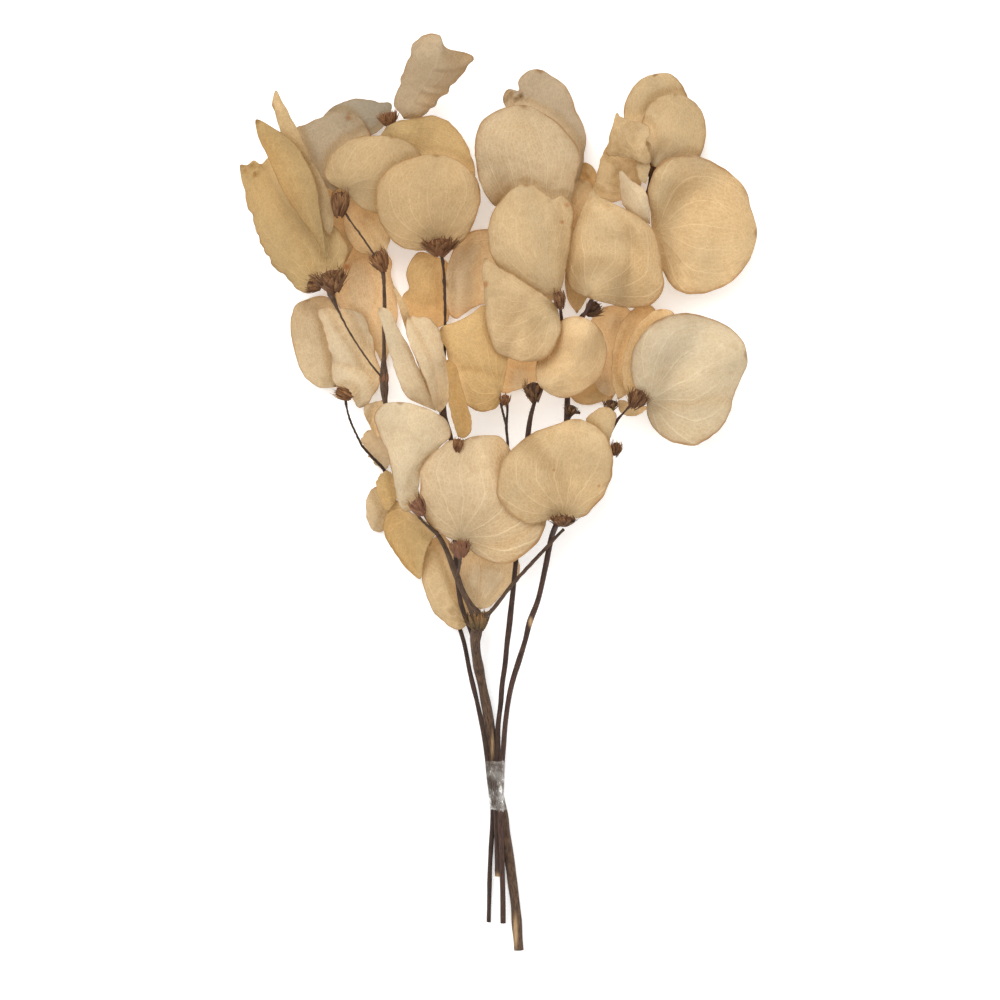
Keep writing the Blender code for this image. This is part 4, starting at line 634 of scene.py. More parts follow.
# Folds and creases: height in mm (below 0 a valley), half width in plan units, then plan points along it.
FOLDS = {
    "A01": [(2.4, 9, [(450, 46), (446, 70), (437, 92), (420, 112)]), (-1.2, 7, [(462, 56), (452, 80), (436, 102)])],
    "A03": [(-0.8, 6, [(350, 116), (362, 128), (350, 150)])],
    "A04": [(0.5, 5, [(345, 190), (372, 170), (400, 150)])],
    "A05": [(-1.0, 9, [(395, 135), (425, 150), (455, 180)])],
    "A08": [(-1.3, 9, [(262, 172), (290, 215), (312, 270)]), (0.8, 7, [(250, 180), (275, 235), (300, 285)])],
    "A09": [(-1.0, 8, [(268, 140), (290, 175), (312, 225)])],
    "A12": [(0.9, 6, [(352, 262), (372, 300), (384, 350)])],
    "B01": [(0.5, 5, [(556, 235), (540, 180), (520, 135)]), (0.4, 5, [(556, 235), (510, 185), (495, 150)])],
    "B02": [(-1.2, 5, [(508, 92), (524, 104), (532, 118)]), (1.0, 4, [(505, 100), (518, 92), (530, 80)])],
    "B03": [(1.0, 8, [(545, 196), (556, 235), (558, 285)]), (-0.9, 6, [(560, 205), (567, 240)])],
    "B04": [(0.7, 5, [(554, 303), (528, 318), (500, 345)]), (0.5, 5, [(550, 300), (510, 292), (488, 286)])],
    "B05": [(-2.2, 7, [(600, 200), (619, 216), (628, 236), (632, 256), (628, 278)]), (1.4, 9, [(612, 200), (636, 228), (648, 262), (642, 292)]),
            (-1.2, 7, [(590, 200), (575, 240), (574, 270)])],
    "B06": [(0.5, 6, [(654, 232), (690, 236), (735, 262)]), (0.3, 6, [(654, 230), (690, 205), (725, 195)]), (0.3, 6, [(656, 236), (685, 262), (705, 285)]),
            (-0.4, 9, [(664, 165), (700, 190), (745, 205)])],
    "B08": [(-1.6, 8, [(640, 150), (646, 118), (664, 98), (684, 92)])],
    "B09": [(1.6, 5, [(617, 113), (614, 135), (612, 154)]), (-1.6, 6, [(632, 120), (634, 140), (626, 156)]), (1.4, 5, [(648, 128), (642, 146), (640, 160)])],
    "B11": [(1.0, 6, [(608, 148), (600, 172), (596, 190)]), (-1.1, 6, [(618, 150), (622, 172), (618, 198)]), (0.8, 6, [(634, 156), (632, 190)])],
    "B12": [(0.8, 5, [(621, 173), (640, 200), (650, 222)])],
    "B15": [(-1.0, 6, [(582, 184), (580, 230), (578, 300)])],
    "C02": [(-1.6, 5, [(334, 364), (358, 369), (380, 377)]), (0.8, 9, [(326, 340), (352, 346), (376, 356)])],
    "D01": [(0.8, 5, [(384, 312), (408, 356), (434, 405)])],
    "D02": [(-1.8, 5, [(410, 318), (424, 345), (436, 376), (438, 405)]), (1.0, 7, [(430, 325), (442, 360), (444, 395)])],
    "D04": [(1.2, 5, [(452, 372), (460, 400), (464, 430)])],
    "E02": [(0.9, 7, [(460, 300), (468, 268), (486, 242)]), (-0.9, 6, [(452, 300), (456, 270), (474, 240)])],
    "E03": [(-1.4, 5, [(448, 374), (470, 371), (506, 377)]), (0.5, 6, [(500, 398), (470, 350), (456, 325)])],
    "F01": [(0.5, 5, [(545, 390), (575, 362), (590, 330)])],
    "F03": [(-1.4, 5, [(618, 395), (618, 360), (628, 322), (646, 306)])],
    "F04": [(-1.2, 5, [(628, 395), (628, 360), (640, 328), (662, 312)])],
    "F05": [(0.9, 6, [(648, 400), (682, 385), (720, 366), (744, 358)]), (-0.8, 8, [(650, 410), (690, 402), (728, 400)])],
    "G01": [(0.6, 5, [(563, 516), (558, 470), (552, 428)]), (0.6, 5, [(568, 516), (580, 470), (584, 424)]), (-0.6, 12, [(548, 515), (530, 490), (520, 460)])],
    "H01": [(0.7, 6, [(414, 508), (418, 460), (410, 412)]), (-0.4, 8, [(404, 505), (400, 460), (385, 420)])],
    "H02": [(1.4, 9, [(478, 437), (488, 470), (482, 510)]), (-1.4, 9, [(500, 440), (504, 475)]), (0.6, 5, [(460, 540), (452, 500), (450, 450)]),
            (0.6, 5, [(462, 540), (495, 500), (520, 480)]), (-0.9, 7, [(470, 545), (505, 545), (540, 520)])],
    "I02": [(1.6, 7, [(410, 512), (418, 535), (420, 565)]), (-1.0, 6, [(398, 512), (404, 540), (414, 568)])],
    "I03": [(0.7, 6, [(466, 618), (445, 590), (432, 555)]), (-1.0, 6, [(434, 540), (444, 565), (462, 600)])],
    "I04": [(-2.0, 5, [(477, 605), (480, 580), (484, 545)]), (1.4, 6, [(484, 605), (498, 575), (504, 548)])],
    "J02": [(-1.0, 5, [(380, 402), (374, 418), (378, 434)])],
}
# Twisted or torn stretches: plan centre, reach in plan units, height of the crumple in mm.
CRUMPLE = {"B02": [(515, 97, 14, 1.6)], "B09": [(632, 134, 22, 0.6)], "B11": [(616, 168, 20, 0.35)], "A08": [(250, 168, 14, 1.0)],
           "B13": [(584, 172, 12, 0.9)], "H02": [(540, 520, 16, 0.8)], "I03": [(455, 615, 14, 0.6)], "A03": [(356, 122, 12, 0.5)]}


def skin(name):
    """The material of a leaf: leaves of one kind share it, and those with flecks have their own."""
    kind = TINT[name][0]
    label = "leaf_" + kind + ("_" + name.lower() if name in FLECKS else "")
    if label not in bpy.data.materials:
        flecks = []
        for px, py, size in FLECKS.get(name, []):
            height = look(HIGH, np.array([px, py], float))
            spot = place(np.array([px, py], float), height)
            flecks.append((float(spot[0]), float(spot[1]), size / 1000))
        leaf_material(label, *SKIN[kind], flecks, seed_of(label))
    return bpy.data.materials[label]


def beside(plan, points):
    """Distance in plan units from each plan point to a smooth line through points."""
    line = through(points, 24)
    best = np.full(plan.shape[:2], 1e9)
    for a, b in zip(line, line[1:]):
        step = b - a
        t = np.clip(((plan - a) @ step) / (step @ step), 0, 1)
        best = np.minimum(best, np.linalg.norm(plan - a - t[..., None] * step, axis=2))
    return best


# Leaves with a more ragged edge than the others.
RAGGED = {"A01": 2.4, "A08": 2.8, "A03": 1.6, "B09": 2.2, "B11": 1.8, "C02": 1.8, "E04": 2.2, "F03": 2.0, "H02": 1.5, "J01": 2.2, "I01": 1.6}


def detailed_leaf(name):
    rng = np.random.RandomState(seed_of(name))
    base, top, arch, edge_l, edge_r, crease, tip, outline = LEAF[name]
    fine = through(outline + [outline[0]], 1400)
    turn = int(np.argmin(np.linalg.norm(fine - np.array(outline[tip], float), axis=1)))
    sides, plain = [], []
    for line in (even(fine[: turn + 1], 500), even(fine[turn:][::-1], 500)):
        plain.append(line)
        t = np.linspace(0, 1, 500)
        way = np.gradient(line, axis=0)
        way /= np.linalg.norm(way, axis=1, keepdims=True) + 1e-9
        out = np.stack([way[:, 1], -way[:, 0]], 1)
        ragged = RAGGED.get(name, 1.0)
        rough = ragged * (0.34 * wiggle(rng, 5, (3, 8))(t) + 0.20 * wiggle(rng, 4, (9, 15))(t))
        nick = np.clip(wiggle(rng, 4, (4, 9))(t) - 1.45, 0, None) * 2.2
        amount = (rough - nick) * np.sin(math.pi * t) ** 0.5
        sides.append(line + out * amount[:, None])
    at = np.linspace(0, 1, 500)
    reach = np.linalg.norm(np.ptp(np.array(outline, float), axis=0))
    rows, columns = (76, 54) if reach > 105 else (60, 40) if reach > 70 else (46, 30)
    s = 0.5 - 0.5 * np.cos(math.pi * np.linspace(0.012, 0.988, rows + 1))
    left, right = (np.stack([np.interp(s, at, line[:, k]) for k in (0, 1)], 1) for line in plain)
    wide = np.linalg.norm(right - left, axis=1)
    left, right = (np.stack([np.interp(s, at, line[:, k]) for k in (0, 1)], 1) for line in sides)
    v = np.sin(np.linspace(-1, 1, columns + 1) * math.pi / 2 * 0.82) / math.sin(math.pi / 2 * 0.82)
    w = np.minimum(wide / 60.0, 1.0)
    plan = fan(outline, tip, left, right, s, v)
    bend = crease * np.abs(v) + (1 - crease) * v * v
    side = np.where(v < 0, edge_l, edge_r)
    z = base + (top - base) * s[:, None] + BOW * arch * 4 * (s * (1 - s))[:, None] + w[:, None] * (bend * side * CUP)[None, :]
    z = z + look(RISE[name], plan)
    x, y = plan[..., 0] * UNIT, plan[..., 1] * UNIT
    z = z + 0.30 * waves(rng, 14, 30, 4)(x, y) + 0.07 * waves(rng, 4, 8, 5)(x, y)
    t = s[:, None]
    rim = np.maximum(np.abs(v)[None, :] ** 14 * np.minimum(w, 1)[:, None] ** 0.3, (np.abs(2 * s - 1) ** 24)[:, None] + 0 * v[None, :])
    for sign in (-1, 1):
        ripple = wiggle(rng, 4, (1.0, 3.5))(t) * 0.55 + rng.uniform(-0.4, 0.6)
        z = z + np.where(v * sign > 0, np.abs(v) ** 5, 0)[None, :] * ripple * np.minimum(w * 1.5, 1)[:, None]
    z = z + np.clip((t - 0.8) / 0.2, 0, 1) ** 2 * rng.uniform(-0.6, 0.8)
    painted_crease_shade = np.zeros_like(z)
    for height, half, points in FOLDS.get(name, []):
        off = beside(plan, points) / half
        z = z + height * np.exp(-np.abs(off) ** 1.5)
        # Valleys deeper than 0.7 mm get painted crease shade.
        if height < -0.7:
            painted_crease_shade = np.maximum(painted_crease_shade, 0.45 * np.exp(-(off * 1.5) ** 2))
    for px, py, far, height in CRUMPLE.get(name, []):
        near = np.exp(-(((plan[..., 0] - px) ** 2 + (plan[..., 1] - py) ** 2) / far ** 2))
        z = z + near * height * waves(rng, 2.5, 5.5, 6)(x, y)
    # Main veins stand a little proud.
    for k in (-2, -1, 0, 1, 2):
        vein = 0.46 * k * (t + 0.03) ** 0.42
        z = z + 0.09 * np.exp(-((v[None, :] - vein) / 0.03) ** 2) * np.sin(math.pi * np.clip(t, 0, 1)) ** 0.5
    lowest = LEAF_THICK / 2 + DROP + 0.02
    z = np.maximum(z, lowest)
    mid = place(plan, z)
    along, across = np.gradient(mid, axis=0), np.gradient(mid, axis=1)
    normal = np.cross(along, across)
    normal /= np.linalg.norm(normal, axis=2, keepdims=True) + 1e-12
    normal *= np.sign(normal[..., 2:3])
    taper = (1 - 0.6 * rim)[..., None]
    half = normal * LEAF_THICK / 2000 * taper
    count = mid.shape[0] * mid.shape[1]
    points = np.vstack([(mid + half).reshape(-1, 3), (mid - half).reshape(-1, 3)])
    points[:, 2] = np.maximum(points[:, 2], 0.0)
    index = np.arange(count).reshape(mid.shape[:2])
    a, b, c, d = index[:-1, :-1], index[1:, :-1], index[1:, 1:], index[:-1, 1:]
    upper = np.stack([a, b, c, d], -1).reshape(-1, 4)
    lower = np.stack([d, c, b, a], -1).reshape(-1, 4) + count
    ring = np.concatenate([index[:, 0], index[-1, 1:], index[:-1, -1][::-1], index[0, 1:-1][::-1]])
    after = np.roll(ring, -1)
    wall = np.stack([ring, ring + count, after + count, after], -1)
    if np.cross(mid[1, 0] - mid[0, 0], mid[0, 1] - mid[0, 0])[2] < 0:
        upper, lower, wall = upper[:, ::-1], lower[:, ::-1], wall[:, ::-1]
    faces = np.vstack([upper, lower, wall]).tolist()
    uv = np.stack([np.broadcast_to(v[None, :] * 0.5 + 0.5, z.shape), np.broadcast_to(t, z.shape)], -1).reshape(-1, 2)
    uv = np.vstack([uv, uv])
    # How far other leaves reach over each point.
    over = look(SHADE, plan) - z
    cover = np.clip((over - 3.0) / 9.0, 0, 1)
    kind, amount, where, tone = TINT[name]
    tt = np.broadcast_to(t, z.shape)
    vv = np.broadcast_to(v[None, :], z.shape)
    reach = {0: 0 * tt, -1: np.clip((0.1 - vv) * 1.6, 0, 1), 1: np.clip((vv - 0.15) * 1.4, 0, 1), 2: np.clip((0.5 - tt) * 2.0, 0, 1),
             3: 0.55 + 0.3 * np.sin(3 * vv + 4 * tt), 4: np.clip((tt - 0.45) * 2.0, 0, 1)}[where]
    # Painted warm shade along the side given in TINT, in the valleys of folds and in the strip beside an overlying
    # leaf.
    painted_warm_shade = np.maximum(amount * np.clip(reach + 0.15 * waves(rng, 10, 20, 3)(x, y), 0, 1), painted_crease_shade)
    # The shaded strip beside an overlying leaf, and slow changes of brightness.
    beside_leaf = np.zeros_like(z)
    for k in range(8):
        shift = 4.5 * np.array([math.cos(k * math.pi / 4), math.sin(k * math.pi / 4)])
        beside_leaf += np.clip((look(SHARP, plan + shift) - z - 1.6) / 4.0, 0, 1) / 8
    contact = np.clip(beside_leaf * 2.0, 0, 1) * (1 - 0.5 * cover)
    painted_warm_shade = np.maximum(painted_warm_shade, 0.90 * contact)
    slow = waves(rng, 16, 40, 3)(x, y)
    # Painted light and shade: the tone is raised where other leaves cover the leaf and lowered in the strip beside
    # them.
    bright = tone * (1 + 0.15 * cover) * (1 - 0.13 * contact) * (1 + 0.03 * slow + 0.05 * (tt - 0.5))
    double = lambda field: np.tile(np.asarray(field).ravel(), 2)
    obj = new_object("visual_leaf_" + name.lower(), points, faces, uv,
                     [("cover", double(cover)), ("rim", double(np.clip(rim, 0, 1))), ("painted_warm_shade", double(painted_warm_shade)),
                      ("tone", double(np.clip(bright, 0.5, 1.35)))], angle=70)
    obj.data.materials.append(skin(name))
    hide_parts("leaf_" + name.lower())
    return obj


# ---------------------------------------------------------------- twigs and burs
def tube(path, sides, rng, bumps=0.10, twist=0.0):
    """Points, faces and uv of a rough round tube along path: x, y, z and radius in mm."""
    points, uv = [], []
    across = None
    run = np.concatenate([[0], np.cumsum(np.linalg.norm(np.diff(path[:, :3], axis=0), axis=1))])
    swell = wiggle(rng, 6, (3, 16))
    turns = np.arange(sides) * 2 * math.pi / sides
    ribs = sum(rng.uniform(0.3, 1) * np.sin(k * turns[None, :] + rng.uniform(0, 6.28) + run[:, None] * rng.uniform(-0.12, 0.12)) for k in (2, 3, 5, 7)) / 2.4
    for i, (x, y, z, r) in enumerate(path):
        ahead = path[min(i + 1, len(path) - 1), :3] - path[max(i - 1, 0), :3]
        ahead = ahead / (np.linalg.norm(ahead) + 1e-12)
        across = np.cross(ahead, (0, 0, 1)) if across is None else across - ahead * (across @ ahead)
        across /= np.linalg.norm(across)
        up = np.cross(across, ahead)
        for k in range(sides):
            turn = turns[k]
            q = r * (1 + bumps * ribs[i, k] + 0.05 * swell(i / len(path)))
            points.append((x + q * (math.cos(turn) * across[0] + math.sin(turn) * up[0]),
                           y + q * (math.cos(turn) * across[1] + math.sin(turn) * up[1]),
                           z + q * (math.cos(turn) * across[2] + math.sin(turn) * up[2])))
            uv.append((k / sides * 2, run[i]))
    faces = []
    for i in range(len(path) - 1):
        for k in range(sides):
            a, b = i * sides + k, i * sides + (k + 1) % sides
            faces.append((a, b, b + sides, a + sides))
    faces.append(tuple(range(sides))[::-1])
    faces.append(tuple(range((len(path) - 1) * sides, len(path) * sides)))
    return points, faces, uv


def finer(path, step):
    run = np.concatenate([[0], np.cumsum(np.linalg.norm(np.diff(path[:, :3], axis=0), axis=1))])
    at = np.linspace(0, run[-1], max(int(run[-1] / step), 2) + 1)
    return np.stack([np.interp(at, run, path[:, k]) for k in range(path.shape[1])], 1)


# Bare wood: plan x, plan y, half length across and along in plan units.
BARE = {"b": [(492.5, 744, 1.3, 13), (515.5, 932, 2.2, 17)], "d": [(499, 881, 6, 8)], "e": [(530.5, 621, 2.4, 5)]}


def detailed_stem(letter):
    points, faces, uv, bare = [], [], [], []
    rng = np.random.RandomState(seed_of("stem" + letter))
    for run, (owner, parent, spots) in STEM.items():
        if owner != letter:
            continue
        line = RUNS[run]
        path = np.column_stack([place(line[:, :2], line[:, 3]) * 1000, line[:, 2]])
        path = finer(path, 0.75)
        if spots[-1][2] > 1.2 and run != "b.main":
            # The swelling under a bur stays inside the bur.
            path[:, 3] = np.minimum(path[:, 3], max(max(p[2] for p in spots[:-1]), 0.5))
            near_end = np.clip((np.arange(len(path)) - len(path) * 0.6) / (len(path) * 0.4), 0, 1)
            path[:, 3] = path[:, 3] * (1 - near_end) + np.minimum(path[:, 3], spots[-2][2] * 1.05) * near_end
        if run == "b.main":
            path[:, 3] = np.minimum(path[:, 3], 2.5)
        knots = wiggle(rng, 5, (4, 12))(np.linspace(0, 1, len(path)))
        path[:, 3] *= 1 + 0.10 * np.clip(knots - 0.4, 0, None)
        path[:, 0] += 0.10 * wiggle(rng, 4, (5, 14))(np.linspace(0, 1, len(path))) * np.sin(np.linspace(0, math.pi, len(path)))
        path[:, 2] = np.maximum(path[:, 2], path[:, 3] * 1.15 + 0.05)
        made, sides, coords = tube(path, 18 if letter == "b" and run == "b.main" else 12, rng, 0.11)
        start = len(points)
        points += made
        uv += coords
        faces += [tuple(start + k for k in face) for face in sides]
    points = np.array(points) / 1000
    bare = np.zeros(len(points))
    for px, py, a, b in BARE.get(letter, []):
        spot = place(np.array([px, py], float), np.array(5.0))
        far = np.hypot((points[:, 0] - spot[0]) / (a * UNIT / 1000), (points[:, 1] - spot[1]) / (b * UNIT / 1000))
        bare = np.maximum(bare, np.clip(1.6 - far * 1.2, 0, 1))
    obj = new_object("visual_stem_" + letter, points, faces, np.array(uv), [("bare", bare)], angle=80)
    dark, light = {"a": ((34, 24, 20), (80, 58, 46)), "b": ((44, 31, 25), (112, 86, 65)), "c": ((38, 27, 22), (88, 64, 50)),
                   "d": ((36, 25, 21), (86, 62, 50)), "e": ((36, 25, 21), (94, 66, 54))}[letter]
    obj.data.materials.append(bark_material("bark_" + letter, srgb(*dark), srgb(*light)))
    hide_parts("stem_" + letter)
    return obj


# Burs: the twig, its run, plan centre, way it points in plan degrees (90 = up the plan), length and width in mm, bristles, flare, skin.
BUR = {
    "k01": ("stem_c", "c.k1", (389, 119), 100, 8.0, 8.0, 60, 0.35, 1),
    "k02": ("stem_b", "b.k2", (340, 204), 84, 14.0, 8.4, 74, 0.12, 0),
    "k03": ("stem_b", "b.k3", (380, 261), 112, 12.0, 8.0, 70, 0.20, 1),
    "k04": ("stem_b", "b.k4", (332, 281), 105, 12.5, 12.0, 110, 0.40, 0),
    "k04b": ("stem_b", "b.k4", (314, 285), 165, 8.0, 7.0, 60, 0.35, 0),
    "k05": ("stem_a", "a.top", (344, 394), 158, 10.5, 5.6, 46, 0.12, 1),
    "k06": ("stem_c", "c.k6", (439.5, 247), 92, 10.0, 13.0, 90, 0.62, 1),
    "k07": ("stem_d", "d.k7", (505, 400), 80, 6.5, 4.6, 30, 0.30, 1),
    "k08": ("stem_d", "d.main", (534, 392), 95, 11.5, 8.0, 52, 0.35, 3),
    "k09": ("stem_e", "e.k9", (559.5, 300), 98, 10.0, 5.4, 46, 0.15, 0),
    "k10": ("stem_e", "e.main", (593, 309), 40, 9.0, 7.5, 52, 0.30, 3),
    "k11": ("stem_e", "e.k11", (637, 399), 60, 11.0, 8.4, 54, 0.42, 0),
    "k12": ("stem_e", "e.k12", (616, 449), 80, 8.0, 4.8, 34, 0.35, 0),
    "k13": ("stem_e", "e.k13", (611, 405), 85, 6.0, 6.4, 34, 0.40, 3),
    "k14": ("stem_e", "e.k14", (651, 169), 95, 8.4, 5.4, 40, 0.25, 3),
    "k19": ("stem_e", "e.stub", (571, 410), 75, 6.0, 5.4, 30, 0.45, 3),
    "k15": ("stem_b", "b.k15", (418.5, 507.5), 118, 9.6, 7.0, 56, 0.22, 2),
    "k16": ("stem_b", "b.k16", (460, 549), 92, 9.4, 9.0, 66, 0.25, 2),
    "k17": ("stem_e", "e.k17", (563, 521), 90, 5.6, 11.0, 60, 0.35, 0),
    "k458": ("stem_c", "c.main", (458, 445), 84, 7.4, 4.6, 34, 0.15, 1),
    "node": ("stem_b", "b.main", (478, 621), 96, 11.5, 9.5, 80, 0.40, 4),
    "joint": ("stem_b", "b.mid", (384, 380), 88, 8.0, 4.4, 26, 0.10, 2),
}


def detailed_bur(name):
    owner, run, (px, py), heading, length, width, bristles, flare, which = BUR[name]
    rng = np.random.RandomState(seed_of(name) + 5)
    line = RUNS[run]
    near = int(np.argmin(np.hypot(line[:, 0] - px, line[:, 1] - py)))
    height = float(line[near, 3])
    if name in ("k458", "k04b"):
        height = float(look(HIGH, np.array([px, py], float))) + (2.2 if name == "k458" else 1.0)
    centre = place(np.array([px, py], float), np.array(height)) * 1000
    ahead = np.array([math.cos(math.radians(heading)), math.sin(math.radians(heading)), 0.12])
    ahead /= np.linalg.norm(ahead)
    side = np.cross(ahead, (0, 0, 1.0))
    side /= np.linalg.norm(side)
    up = np.cross(side, ahead)
    points, faces, uv, tips = [], [], [], []
    half_w = width / 2

    def profile(s):
        """Half width of the bur at s, from its foot 0 to its crown 1."""
        return half_w * (math.sin(math.pi * min(1.0, 0.10 + 0.72 * s)) ** 0.8) * (0.70 + 0.22 * s)

    # The core, ribbed and closed.
    rows, ring = 14, 30
    for i in range(rows + 1):
        s = i / rows
        r = profile(s) * 0.80 if 0 < i < rows else 0.12 * half_w
        for k in range(ring):
            turn = 2 * math.pi * k / ring
            q = r * (1 + 0.12 * math.sin(10 * turn + 1.5 * s) + 0.10 * rng.uniform(-1, 1))
            points.append(centre + ahead * (s - 0.5) * length * 0.74 + q * (math.cos(turn) * side + math.sin(turn) * up))
            uv.append((k / ring * 3, s * length))
            tips.append(0.0)
    for i in range(rows):
        for k in range(ring):
            a, b = i * ring + k, i * ring + (k + 1) % ring
            faces.append((a, a + ring, b + ring, b))
    faces.append(tuple(range(ring)))
    faces.append(tuple(range(rows * ring, (rows + 1) * ring))[::-1])
    # Narrow pointed bristles and broader scales that lie along the core and spread at their tips.
    for n in range(bristles):
        turn = 2 * math.pi * (n * 0.381966 + rng.uniform(-0.04, 0.04))
        out = math.cos(turn) * side + math.sin(turn) * up
        wide_way = np.cross(ahead, out)
        broad = rng.uniform() < 0.30
        foot = rng.uniform(-0.02, 0.5)
        reach = rng.uniform(0.55, 0.95) if foot < 0.3 else rng.uniform(0.40, 0.62)
        if broad:
            reach *= 0.75
        blade = half_w * (rng.uniform(0.17, 0.26) if broad else rng.uniform(0.05, 0.11)) + 0.08
        lean = flare * rng.uniform(0.2, 1.6)
        curl = rng.uniform(-0.35, 0.35)
        lift = rng.uniform(0.80, 1.08)
        shade = rng.uniform(0.3, 1.0)
        steps = 8
        first = len(points)
        for i in range(steps + 1):
            t = i / steps
            s = foot + reach * t
            r = profile(min(max(s, 0.0), 1.0)) * lift + lean * half_w * t * t * 1.2 + 0.12
            if s > 1:
                r += (s - 1) * half_w * 0.5 * flare
            w = blade * (1 - t) ** 0.6 * (0.6 + 0.6 * min(t * 3, 1)) + 0.02
            thick = 0.16 * (1 - t) + 0.04
            spot = centre + ahead * (s - 0.5) * length * 0.86 + out * r + wide_way * (curl * half_w * t * t)
            for a, b in ((-w, 0.0), (0.0, thick * 2.0), (w, 0.0), (0.0, -thick)):
                points.append(spot + wide_way * a + out * b)
                uv.append((a * 2 + turn, s * length))
                tips.append(shade * t ** 0.8)
        for i in range(steps):
            for k in range(4):
                a = first + i * 4 + k
                b = first + i * 4 + (k + 1) % 4
                faces.append((a, b, b + 4, a + 4))
        faces.append(tuple(first + k for k in range(4))[::-1])
        faces.append(tuple(first + steps * 4 + k for k in range(4)))
    if name == "k08":
        # One long thin needle stands out to the side.
        root = centre + ahead * 1.5 + side * 1.0
        far = root + side * 5.2 - ahead * 0.8 + up * 0.6
        first = len(points)
        for i in range(9):
            t = i / 8
            spot = root * (1 - t) + far * t + ahead * 0.6 * math.sin(math.pi * t)
            q = 0.30 * (1 - t) + 0.06
            for a, b in ((-q, 0), (0, q), (q, 0), (0, -q)):
                points.append(spot + ahead * a + up * b)
                uv.append((a, t * 8))
                tips.append(t)
        for i in range(8):
            for k in range(4):
                a, b = first + i * 4 + k, first + i * 4 + (k + 1) % 4
                faces.append((a, a + 4, b + 4, b))
        faces.append(tuple(first + k for k in range(4)))
        faces.append(tuple(first + 32 + k for k in range(4))[::-1])
    points = np.array(points) / 1000
    points[:, 2] = np.maximum(points[:, 2], 0.0002)
    obj = new_object("bur_" + name, points, faces, np.array(uv), [("bare", np.zeros(len(points))), ("tip", np.array(tips))], angle=40)
    obj.data.materials.append(BUR_SKIN[which])
    return obj


def detailed_tape():
    """Clear film wound round the twigs, wrinkled where they stand apart."""
    names = ("a.main", "b.main", "c.main", "d.main", "e.main")
    rng = np.random.RandomState(77)
    rings, turns = 60, 120
    ripple = [(rng.randint(3, 14), rng.uniform(0, 6.28), rng.uniform(0.5, 2.2), rng.uniform(0.3, 1)) for _ in range(9)]
    points, uv = [], []
    for i in range(rings + 1):
        y = TAPE_TOP - 2 + (TAPE_FOOT - TAPE_TOP + 4) * i / rings
        posts = []
        for name in names:
            line = RUNS[name]
            order = np.argsort(line[:, 1])
            x, r, z = (np.interp(y, line[order, 1], line[order, k]) for k in (0, 2, 3))
            posts.append((place(np.array([x, y]), np.array(z)) * 1000, r * 1.08))
        for skin in (0, 1):
            for k in range(turns):
                turn = 2 * math.pi * k / turns
                out = np.array([math.cos(turn), 0, math.sin(turn)])
                spot, r = max(posts, key=lambda post: float(post[0] @ out) + post[1])
                fold = sum(q * math.sin(a * turn + b + c * i / rings * 6) for a, b, c, q in ripple) / 4
                extra = 0.16 + 0.10 * fold + (0.08 if skin else 0.0)
                edge = 0.35 * math.sin(5 * turn + 1) * (1 if i in (0, rings) else 0)
                points.append(np.array([spot[0], posts[1][0][1] + edge, spot[2]]) + out * (r + extra))
                uv.append((k / turns, i / rings))
    at = lambda i, skin, k: (i * 2 + skin) * turns + k % turns
    faces = []
    for i in range(rings):
        for k in range(turns):
            faces.append((at(i, 1, k), at(i, 1, k + 1), at(i + 1, 1, k + 1), at(i + 1, 1, k)))
            faces.append((at(i, 0, k), at(i + 1, 0, k), at(i + 1, 0, k + 1), at(i, 0, k + 1)))
    for k in range(turns):
        faces.append((at(0, 0, k), at(0, 0, k + 1), at(0, 1, k + 1), at(0, 1, k)))
        faces.append((at(rings, 0, k), at(rings, 1, k), at(rings, 1, k + 1), at(rings, 0, k + 1)))
    points = np.array(points) / 1000
    points[:, 2] = np.maximum(points[:, 2], 0.00005)
    obj = new_object("visual_tape", points, faces, np.array(uv))
    work = bmesh.new()
    work.from_mesh(obj.data)
    bmesh.ops.recalc_face_normals(work, faces=work.faces[:])
    work.to_mesh(obj.data)
    work.free()
    obj.data.materials.append(tape_material())
    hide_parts("tape")
    return obj


# ---------------------------------------------------------------- the whole
RISE, RUNS, HIGH = stack()
SHADE = blur(blur(HIGH, 2), 3)
SHARP = blur(HIGH, 1)
BUR_SKIN = [bark_material("bur_dark", srgb(58, 36, 25), srgb(128, 84, 52)),
            bark_material("bur_brown", srgb(72, 44, 28), srgb(150, 98, 60)),
            bark_material("bur_red", srgb(88, 54, 42), srgb(154, 106, 80)),
            bark_material("bur_black", srgb(42, 28, 20), srgb(92, 62, 42)),
            bark_material("bur_olive", srgb(62, 46, 30), srgb(128, 104, 66))]
for leaf in LEAF:
    detailed_leaf(leaf)
for letter in "abcde":
    detailed_stem(letter)
for bur in BUR:
    detailed_bur(bur)
detailed_tape()

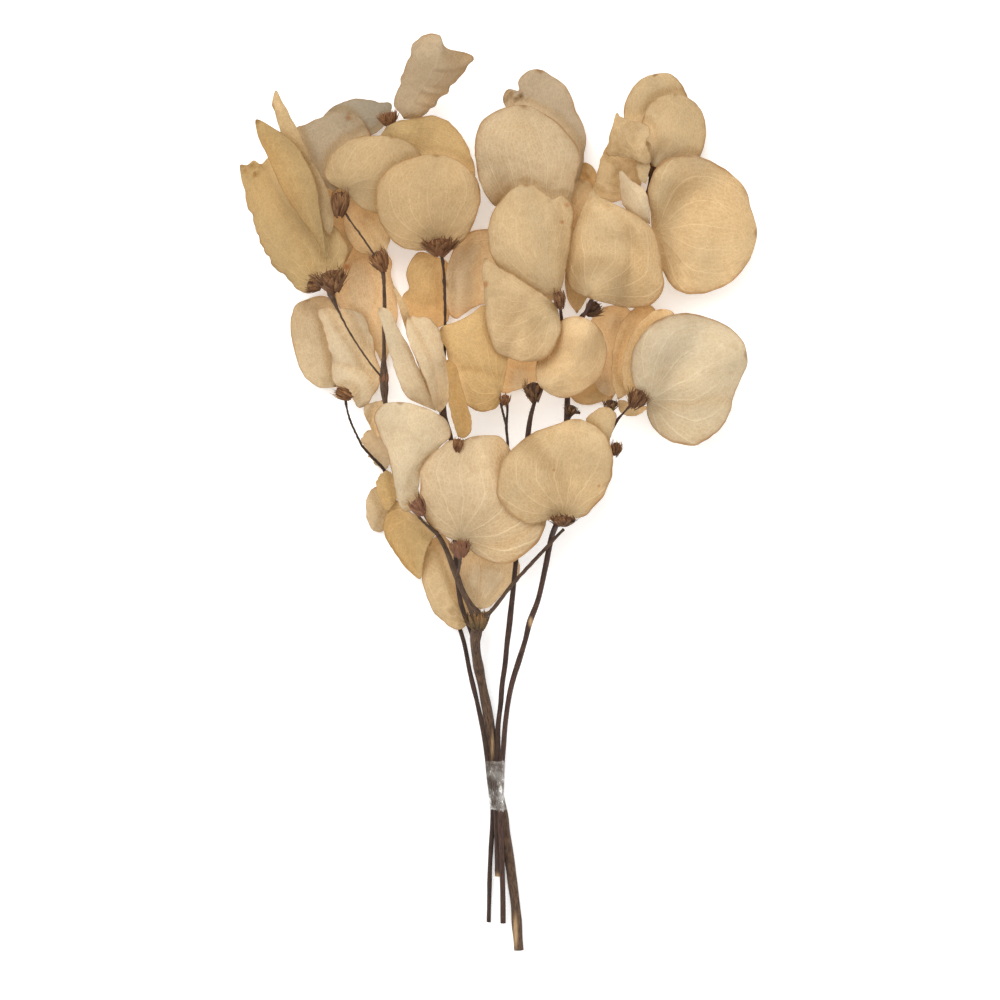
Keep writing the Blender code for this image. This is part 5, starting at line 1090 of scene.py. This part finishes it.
# ---------------------------------------------------------------- surface, light and camera
mesh = bpy.data.meshes.new("surface")
mesh.from_pydata([(-3, -3, -0.0004), (3, -3, -0.0004), (3, 3, -0.0004), (-3, 3, -0.0004)], [], [(0, 1, 2, 3)])
floor = bpy.data.objects.new("surface", mesh)
bpy.context.scene.collection.objects.link(floor)
mat = bpy.data.materials.new("surface")
mat.use_nodes = True
mat.node_tree.nodes["Principled BSDF"].inputs["Base Color"].default_value = (0.96, 0.96, 0.96, 1)
mat.node_tree.nodes["Principled BSDF"].inputs["Roughness"].default_value = 0.9
mat.node_tree.nodes["Principled BSDF"].inputs["Emission Color"].default_value = (1, 1, 1, 1)
mat.node_tree.nodes["Principled BSDF"].inputs["Emission Strength"].default_value = 0.22
mat.node_tree.nodes["Principled BSDF"].inputs["Specular IOR Level"].default_value = 0.1
mesh.materials.append(mat)

world = bpy.data.worlds.new("studio")
bpy.context.scene.world = world
world.use_nodes = True
world.node_tree.nodes["Background"].inputs[0].default_value = (1.0, 0.995, 0.985, 1)
world.node_tree.nodes["Background"].inputs[1].default_value = 0.74


def soft_light(name, where, size, power, colour=(1, 1, 1)):
    data = bpy.data.lights.new(name, "AREA")
    data.shape = "RECTANGLE"
    data.size = data.size_y = size
    data.energy = power
    data.color = colour
    obj = bpy.data.objects.new(name, data)
    bpy.context.scene.collection.objects.link(obj)
    obj.location = where
    aim = np.array(where, float) - np.array((0, 0, 0.02))
    aim /= np.linalg.norm(aim)
    side = np.cross((0, 1, 0), aim)
    side /= np.linalg.norm(side)
    up = np.cross(aim, side)
    from mathutils import Matrix
    obj.matrix_world = Matrix(((side[0], up[0], aim[0], where[0]), (side[1], up[1], aim[1], where[1]), (side[2], up[2], aim[2], where[2]), (0, 0, 0, 1)))
    return obj


soft_light("key", (-0.55, 0.75, 2.1), 1.5, 36.0, (1.0, 0.995, 0.985))
soft_light("fill", (0.75, -0.45, 2.2), 1.8, 13.0)

view = bpy.data.cameras.new("camera")
view.sensor_width = 36.0
view.lens = 36.0 * EYE / (1000 * UNIT)
view.clip_start, view.clip_end = 0.05, 10.0
view.shift_x, view.shift_y = (500 - PLAN_X) / 1000, -(500 - PLAN_Y) / 1000
camera = bpy.data.objects.new("camera", view)
bpy.context.scene.collection.objects.link(camera)
camera.location = (SHIFT_X / 1000, SHIFT_Y / 1000, (EYE - DROP) / 1000)
bpy.context.scene.camera = camera
bpy.context.scene.view_settings.view_transform = "Standard"
bpy.context.scene.view_settings.look = "None"
